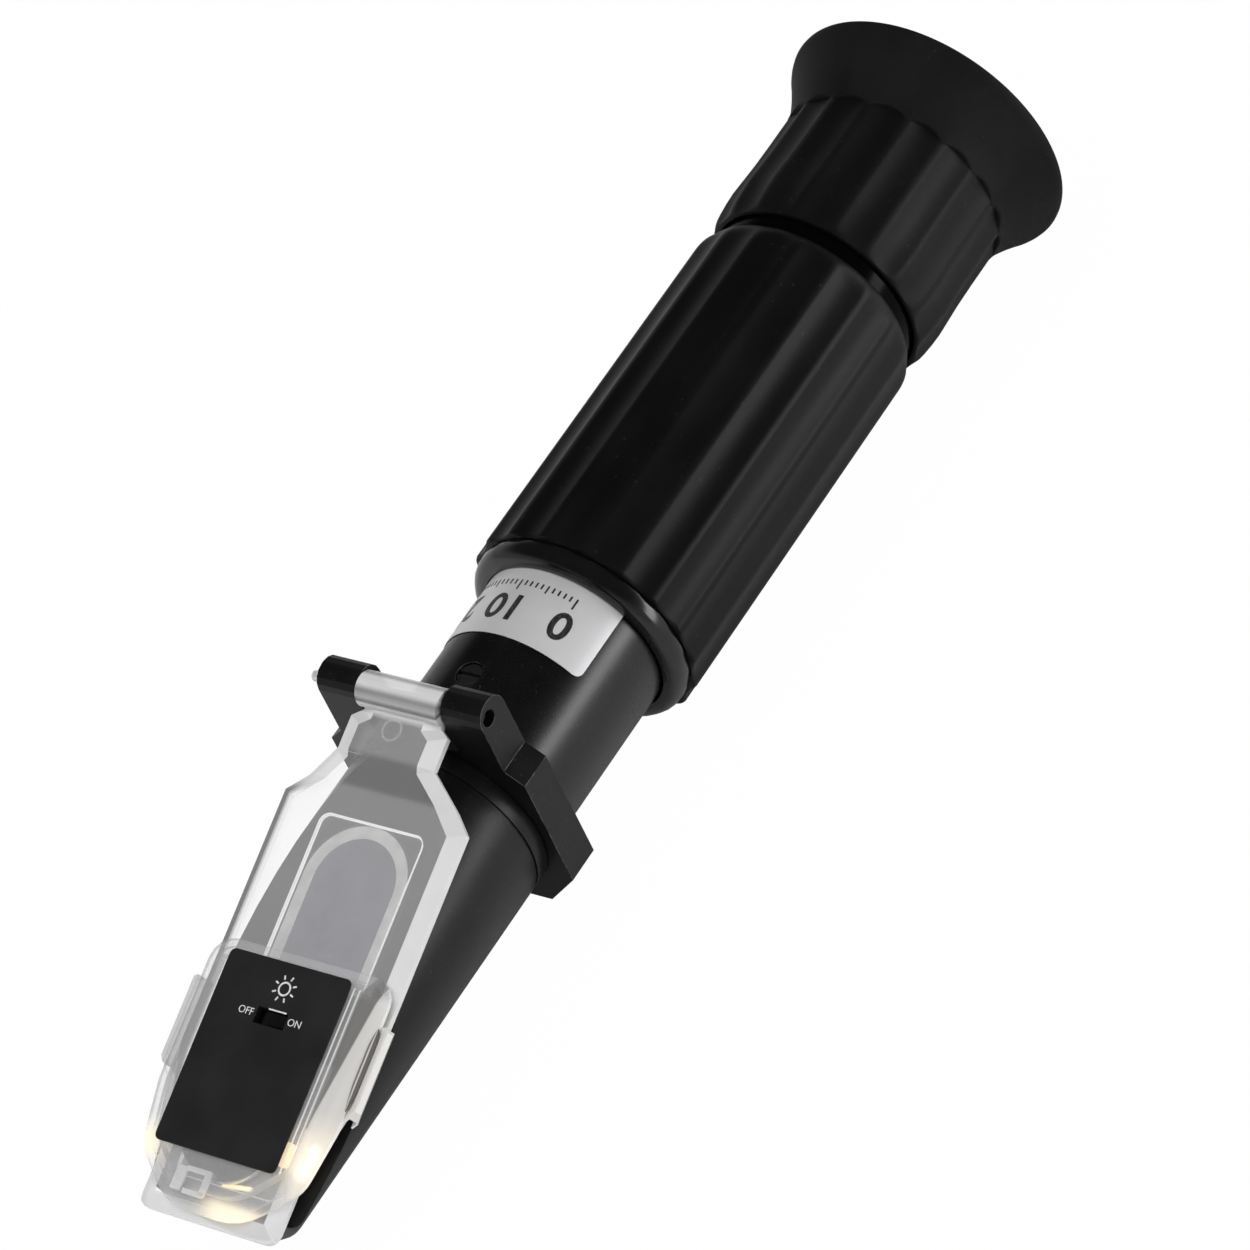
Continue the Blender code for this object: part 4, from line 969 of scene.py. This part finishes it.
class BRIX_OT_optics(Step):
    """Finishes the optics inside the tube"""
    bl_idname = "brix.optics"
    bl_label = "Inner optics"

    def build(self):
        for node, material in (("guide_pin", "pin_steel"), ("compensation_strip", "strip_brass"),
                               ("objective_cell", "inner_metal"), ("objective_lens", "lens_glass"),
                               ("reticle_disc", "lens_glass"), ("reticle_ring", "inner_metal")):
            refinish(node, material)


class BRIX_OT_eyepiece(Step):
    """Builds the eyepiece barrel with its lenses and retainer"""
    bl_idname = "brix.eyepiece"
    bl_label = "Eyepiece"

    def build(self):
        for settings in (
                ("eyepiece_barrel", "sliding_barrel", 0.0001, "inner_metal", "black_anodised"),
                ("lens_retainer", "threaded_retainer", 0.00018, "sleeve_gloss", "gloss_black"),
                ("eye_lens", "crowned_eye_lens", 0.0001, "lens_glass", "optical_glass")):
            softened("eyepiece", *settings)
        refinish("field_lens", "lens_glass")


class BRIX_OT_focus(Step):
    """Builds the fluted focus ring and the flared eyecup"""
    bl_idname = "brix.focus"
    bl_label = "Focus ring and eyecup"

    # Distances from the ring's near end, radii and shares of the flutes' depth.
    RING = ((0.0, 0.015, 0.0), (0.0001, 0.01522, 0.2), (0.00035, 0.0154, 0.5),
            (0.0008, 0.01558, 0.8), (0.0014, 0.01574, 1.0), (0.0024, 0.01588, 1.0),
            (0.004, 0.01602, 1.0), (0.0058, 0.01609, 1.0), (0.008, 0.01601, 1.0),
            (0.011, 0.01589, 1.0), (0.015, 0.01586, 1.0))
    # Distances from the eyecup's base and radii of its flare.
    FLARE = ((-0.0025, 0.0159), (-0.0005, 0.01597), (0.0005, 0.01612), (0.0015, 0.01638),
             (0.0025, 0.01674), (0.0035, 0.0172), (0.0045, 0.01768), (0.0055, 0.0182),
             (0.0065, 0.01877), (0.0075, 0.01935))
    # Distances back from the rim and radii, from outside to inside.
    LIP = ((0.0005, 0.02), (0.0002, 0.01996), (0.00005, 0.0198), (0.0, 0.01955),
           (0.00005, 0.01925), (0.0003, 0.01898))
    # Distances from the base and radii of the floor, down its hole and back to the outside.
    FLOOR = ((0.0016, 0.0148), (0.00125, 0.014), (0.0012, 0.013), (0.0012, 0.009),
             (0.001, 0.0087), (0.0006, 0.0086), (0.0, 0.0086), (0.0, 0.0147))
    WALL = 0.0011

    def build(self):
        self.ring()
        self.cup()

    def ring(self):
        low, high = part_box("focus_ring")
        start, end = low.x, high.x
        bore = radius_of("thread_sleeve") + 0.0003
        web = radius_of("eyepiece_barrel") + 0.0003
        rings = [(start + on, radius, share) for on, radius, share in self.RING]
        rings += [(end, 0.01589, 1.0), (end, web, 0.0), (end - 0.009, web, 0.0),
                  (end - 0.009, bore, 0.0), (start, bore, 0.0)]
        settle("fluted_focus_ring", fluted(rings, FOCUS_PHASE), "focus_rubber", "focus",
               "black_rubber", "focus_ring")

    def cup(self):
        low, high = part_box("eyecup")
        base, rim = low.x, high.x
        flare = [(base + on, radius) for on, radius in self.FLARE]
        flare += [(rim - 0.0013, 0.01972), (rim - 0.0008, 0.01993), (rim - 0.0005, 0.02)]

        # A ring is (x, radius); in the scalloped edge x is an offset and the radius follows the
        # flare with a lift, or stays as it is where the lift is none.
        edge = [(0.0, 0.0147, None), (0.0, None, -0.00014), (0.00008, None, -0.00005),
                (0.00026, None, 0.0)]
        plain = [(x, along(flare, x)) for x in [base + 0.0003 + 0.00045 * k for k in range(19)]]
        plain += [(rim - back, radius) for back, radius in self.LIP]
        plain += [(x, along(flare, x) - self.WALL)
                  for x in [rim - 0.0009 - 0.0006 * k for k in range(11)]]
        plain += [(base + on, radius) for on, radius in self.FLOOR]
        scallop = sizes().scallop

        def place_at(ring, angle):
            if len(ring) == 2:
                return ring
            offset, radius, lift = ring
            cut = flute_cut(angle, FOCUS_PHASE, 0.05) ** 0.7
            start = base - 0.0012 + scallop * cut + offset
            return start, along(flare, start) + lift if radius is None else radius

        shape = drawn_out(edge + plain, place_at, FLUTES * 16)
        shade(shape, 45)
        settle("flared_eyecup", shape, "eyecup_rubber", "focus", "black_rubber", "eyecup")


class BRIX_OT_plate(Step):
    """Builds the milky clear daylight plate"""
    bl_idname = "brix.plate"
    bl_label = "Daylight plate"

    def build(self):
        softened("cover", "daylight_plate", "clear_plate", sizes().plastic_edge, "plate_plastic",
                 "frosted_clear", angle=15.0, large=BROAD_FACE)
        centre = (-0.0042, 0.0003)
        section = ((0.00115, -0.00004), (0.00122, 0.00003), (0.00132, 0.00006),
                   (0.00142, 0.00003), (0.00149, -0.00004))
        shape = onto_plate(lofted([ring_points(centre, radius, NECK_TOP_RISE + rise, 48)
                                   for radius, rise in section]))
        shade(shape, 60)
        settle("ejector_ring", shape, "ring_plastic", "cover", "frosted_clear")


class BRIX_OT_light_box(Step):
    """Builds the clip-on light box and its parts"""
    bl_idname = "brix.light_box"
    bl_label = "Light box"

    def build(self):
        softened("cover", "light_box_shell", "clear_shell", sizes().plastic_edge * 2,
                 "shell_plastic", "frosted_clear", 3, large=BROAD_FACE)
        for settings in (
                ("light_box_base", "clear_base", 0.00008, "base_plastic", "frosted_clear"),
                ("circuit_board", "green_board", 0.00004, "board_mask", "board_green", 1),
                ("coin_cell", "steel_coin_cell", 0.00012, "cell_steel", "bright_steel"),
                ("cell_contact", "spring_contact", 0.00004, "contact_steel", "bright_steel", 1),
                ("led", "lamp_body", 0.0002, "lamp_lens", "warm_led")):
            softened("cover", *settings)
        self.clip()
        self.arm_slot_shade()

    def clip(self):
        """The small frame that holds the contact, under the end of the shell."""
        low, high, lower = -0.00042, 0.00003, -0.00007
        shape = united([bar((x0, y0, low), (x1, y1, top)) for x0, y0, x1, y1, top in
                        ((-0.0644, 0.0034, -0.0614, 0.005, high),
                         (-0.0619, -0.0002, -0.0612, 0.0036, high),
                         (-0.0644, -0.0002, -0.0617, 0.0008, lower),
                         (-0.0646, 0.0, -0.0639, 0.0032, lower))])
        soften(shape, 0.00008, 1)
        shade(shape)
        settle("retaining_clip", onto_plate(shape), "clip_plastic", "cover", "frosted_clear")

    def arm_slot_shade(self):
        """A sheet of painted shade for the slot between the box's flank and its right arm."""
        middle = -0.01372
        loops = []
        for k in range(25):
            share = k / 24
            full = min(1.0, share * 5, (1 - share) * 3) ** 0.6
            x = -0.0391 - 0.0106 * share
            low = [(x, middle + 0.0003 * full, -0.00112 - 0.0003 * (1 - full)),
                   (x, -0.0136, -0.00142), (x, middle - 0.00052 * full, -0.00144)]
            loops.append(low + [(a, b, c + 0.00004) for a, b, c in reversed(low)])
        shape = onto_plate(lofted(loops, joined=False))
        shade(shape, 30)
        settle("arm_slot_shade", shape, "slot_grey", "cover", "frosted_clear")


class BRIX_OT_face(Step):
    """Builds the sticker with its printed marks, and the switch"""
    bl_idname = "brix.face"
    bl_label = "Sticker and switch"

    INK_LOW = STICKER_TOP_RISE + 0.00001
    INK_THICK = 0.00002

    def build(self):
        softened("cover", "face_sticker", "charcoal_sticker", sizes().print_edge, "sticker_film",
                 "black_sticker", 1)
        softened("switch", "light_switch", "ribbed_switch", 0.0001, "knob_gloss", "gloss_black")
        self.sun()
        self.marks()
        self.slot_highlight()

    def sun(self):
        low, high = self.INK_LOW, self.INK_LOW + self.INK_THICK
        centre = (-0.0381, -0.0004)
        inner, outer = 0.00068, 0.00092
        loops = [ring_points(centre, radius, height) for radius, height in
                 ((inner, low), (outer, low), (outer, high), (inner, high))]
        shapes = [lofted(loops)]
        for k in range(8):
            ray = bar((0.00118, -0.00011, low), (0.00172, 0.00011, high))
            turn(ray, pi * (k + 0.5) / 4)
            move(ray, (*centre, 0))
            shapes.append(ray)
        shape = onto_plate(united(shapes))
        shade(shape)
        settle("sun_mark", shape, "pale_ink", "cover", "silver_label")

    def marks(self):
        shapes = []
        for words, across in (("ON", -0.0037), ("OFF", 0.0037)):
            shape = lettering(words, 0.0013, self.INK_THICK)
            turn(shape, radians(-90))
            move(shape, (-0.0418, across, STICKER_TOP_RISE + 0.00002))
            shapes.append(shape)
        settle("switch_marks", onto_plate(united(shapes)), "pale_ink", "cover", "silver_label")

    def slot_highlight(self):
        # A pale bar along the switch's slot, as a painted highlight.
        low = self.INK_LOW
        shape = bar((-0.04098, -0.0021, low), (-0.04078, 0.0006, low + 0.00006))
        soften(shape, 0.00002, 1)
        shade(shape)
        settle("slot_highlight", onto_plate(shape), "pale_ink", "cover", "silver_label")


class BRIX_OT_stage(Step):
    """Sets the pale floor, the soft lights and the camera"""
    bl_idname = "brix.stage"
    bl_label = "Studio"

    KEY_PLACE = (-0.28, 0.02, 0.95)
    KEY_SIZE = (0.8, 0.8)
    STRIP_PLACE = (0.32, -0.62, 0.095)
    STRIP_SIZE = (1.1, 0.17)
    CAMERA_PLACE = (-0.361272, -0.44284, 0.538966)
    CAMERA_RIGHT = (0.50358, -0.80186, -0.32224)
    CAMERA_UP = (0.72322, 0.18694, 0.66503)
    CAMERA_BACK = (-0.47293, -0.56795, 0.67385)

    def build(self):
        scene = bpy.context.scene
        scene.view_settings.view_transform = "Standard"
        self.floor()
        self.room()
        self.lamp("key_light", self.KEY_PLACE, self.KEY_SIZE, studio().key, False)
        self.lamp("strip_light", self.STRIP_PLACE, self.STRIP_SIZE, studio().strip, True)
        camera = bpy.data.cameras.new("camera")
        camera.lens = 179.92
        camera.sensor_width = 36.0
        scene.camera = placed("camera", camera)
        axes = Matrix((self.CAMERA_RIGHT, self.CAMERA_UP, self.CAMERA_BACK)).transposed()
        scene.camera.matrix_world = Matrix.Translation(self.CAMERA_PLACE) @ axes.to_4x4()

    def floor(self):
        """White paper to the camera, and pale matt paper to the light on the instrument."""
        shape = bmesh.new()
        bmesh.ops.create_grid(shape, x_segments=1, y_segments=1, size=3.0)
        move(shape, (0, 0, -0.0001))
        item = placed("floor", meshed("floor", shape))
        paint = Paint("floor_paper")
        paint.tree.nodes.remove(paint.shader)
        paper = paint.mix(paint.noise(40), (0.86, 0.86, 0.86), (0.9, 0.9, 0.9))
        matt = paint.node("BsdfDiffuse", {"Color": paper})
        white = paint.node("Emission", {"Color": WHITE, "Strength": 1.0})
        direct, through, mirrored = paint.rays("Is Camera Ray", "Is Transmission Ray",
                                               "Is Glossy Ray")
        seen = (direct + through + mirrored * 0.1).smallest(1.0)
        shown = paint.node("MixShader", {0: seen * 0.99, 1: matt, 2: white})
        paint.put(shown, paint.tree.nodes["Material Output"].inputs["Surface"])
        item.data.materials.append(paint.material)

    def room(self):
        """Pale walls that fade to a dim ceiling, and white to the camera."""
        world = bpy.data.worlds.new("studio")
        bpy.context.scene.world = world
        world.use_nodes = True
        walls = Nodes(world.node_tree)
        height = walls.split(walls.node("TexCoord", output="Generated"))[2]
        fade = height.range(0.12, 0.5, studio().horizon, studio().ceiling)
        direct, through = walls.rays("Is Camera Ray", "Is Transmission Ray")
        backdrop = walls.tree.nodes["Background"].inputs
        walls.put(direct.largest(through).largest(fade), backdrop["Strength"])
        walls.put(WHITE, backdrop["Color"])

    def lamp(self, name, place, size, power, glossy):
        light = bpy.data.lights.new(name, "AREA")
        light.shape = "RECTANGLE"
        light.size, light.size_y = size
        light.energy = power
        item = placed(name, light)
        way = Vector((0, 0, AXIS_HEIGHT)) - Vector(place)
        item.location = place
        item.rotation_euler = way.to_track_quat("-Z", "Y").to_euler()
        item.visible_glossy = glossy


STEPS = Step.__subclasses__()


class BRIX_PT_panel(bpy.types.Panel):
    """Lists the steps and the settings"""
    bl_label = "Brix refractometer"
    bl_space_type = "VIEW_3D"
    bl_region_type = "UI"
    bl_category = "Refractometer"

    def draw(self, context):
        for settings in (sizes(), colours(), studio()):
            column = self.layout.column(align=True)
            for name in settings.__annotations__:
                column.prop(settings, name)
        column = self.layout.column(align=True)
        for step in STEPS:
            column.operator(step.bl_idname, text=step.bl_label)


SETTINGS = {"brix_sizes": BrixSizes, "brix_colours": BrixColours, "brix_studio": BrixStudio}
CLASSES = (*SETTINGS.values(), *STEPS, BRIX_PT_panel)


def register():
    for item in CLASSES:
        bpy.utils.register_class(item)
    for name, kind in SETTINGS.items():
        setattr(bpy.types.Scene, name, bpy.props.PointerProperty(type=kind))


def unregister():
    for name in SETTINGS:
        delattr(bpy.types.Scene, name)
    for item in reversed(CLASSES):
        bpy.utils.unregister_class(item)


def main():
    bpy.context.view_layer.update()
    register()
    for step in STEPS:
        group, name = step.bl_idname.split(".")
        getattr(getattr(bpy.ops, group), name)()


if __name__ == "__main__":
    main()
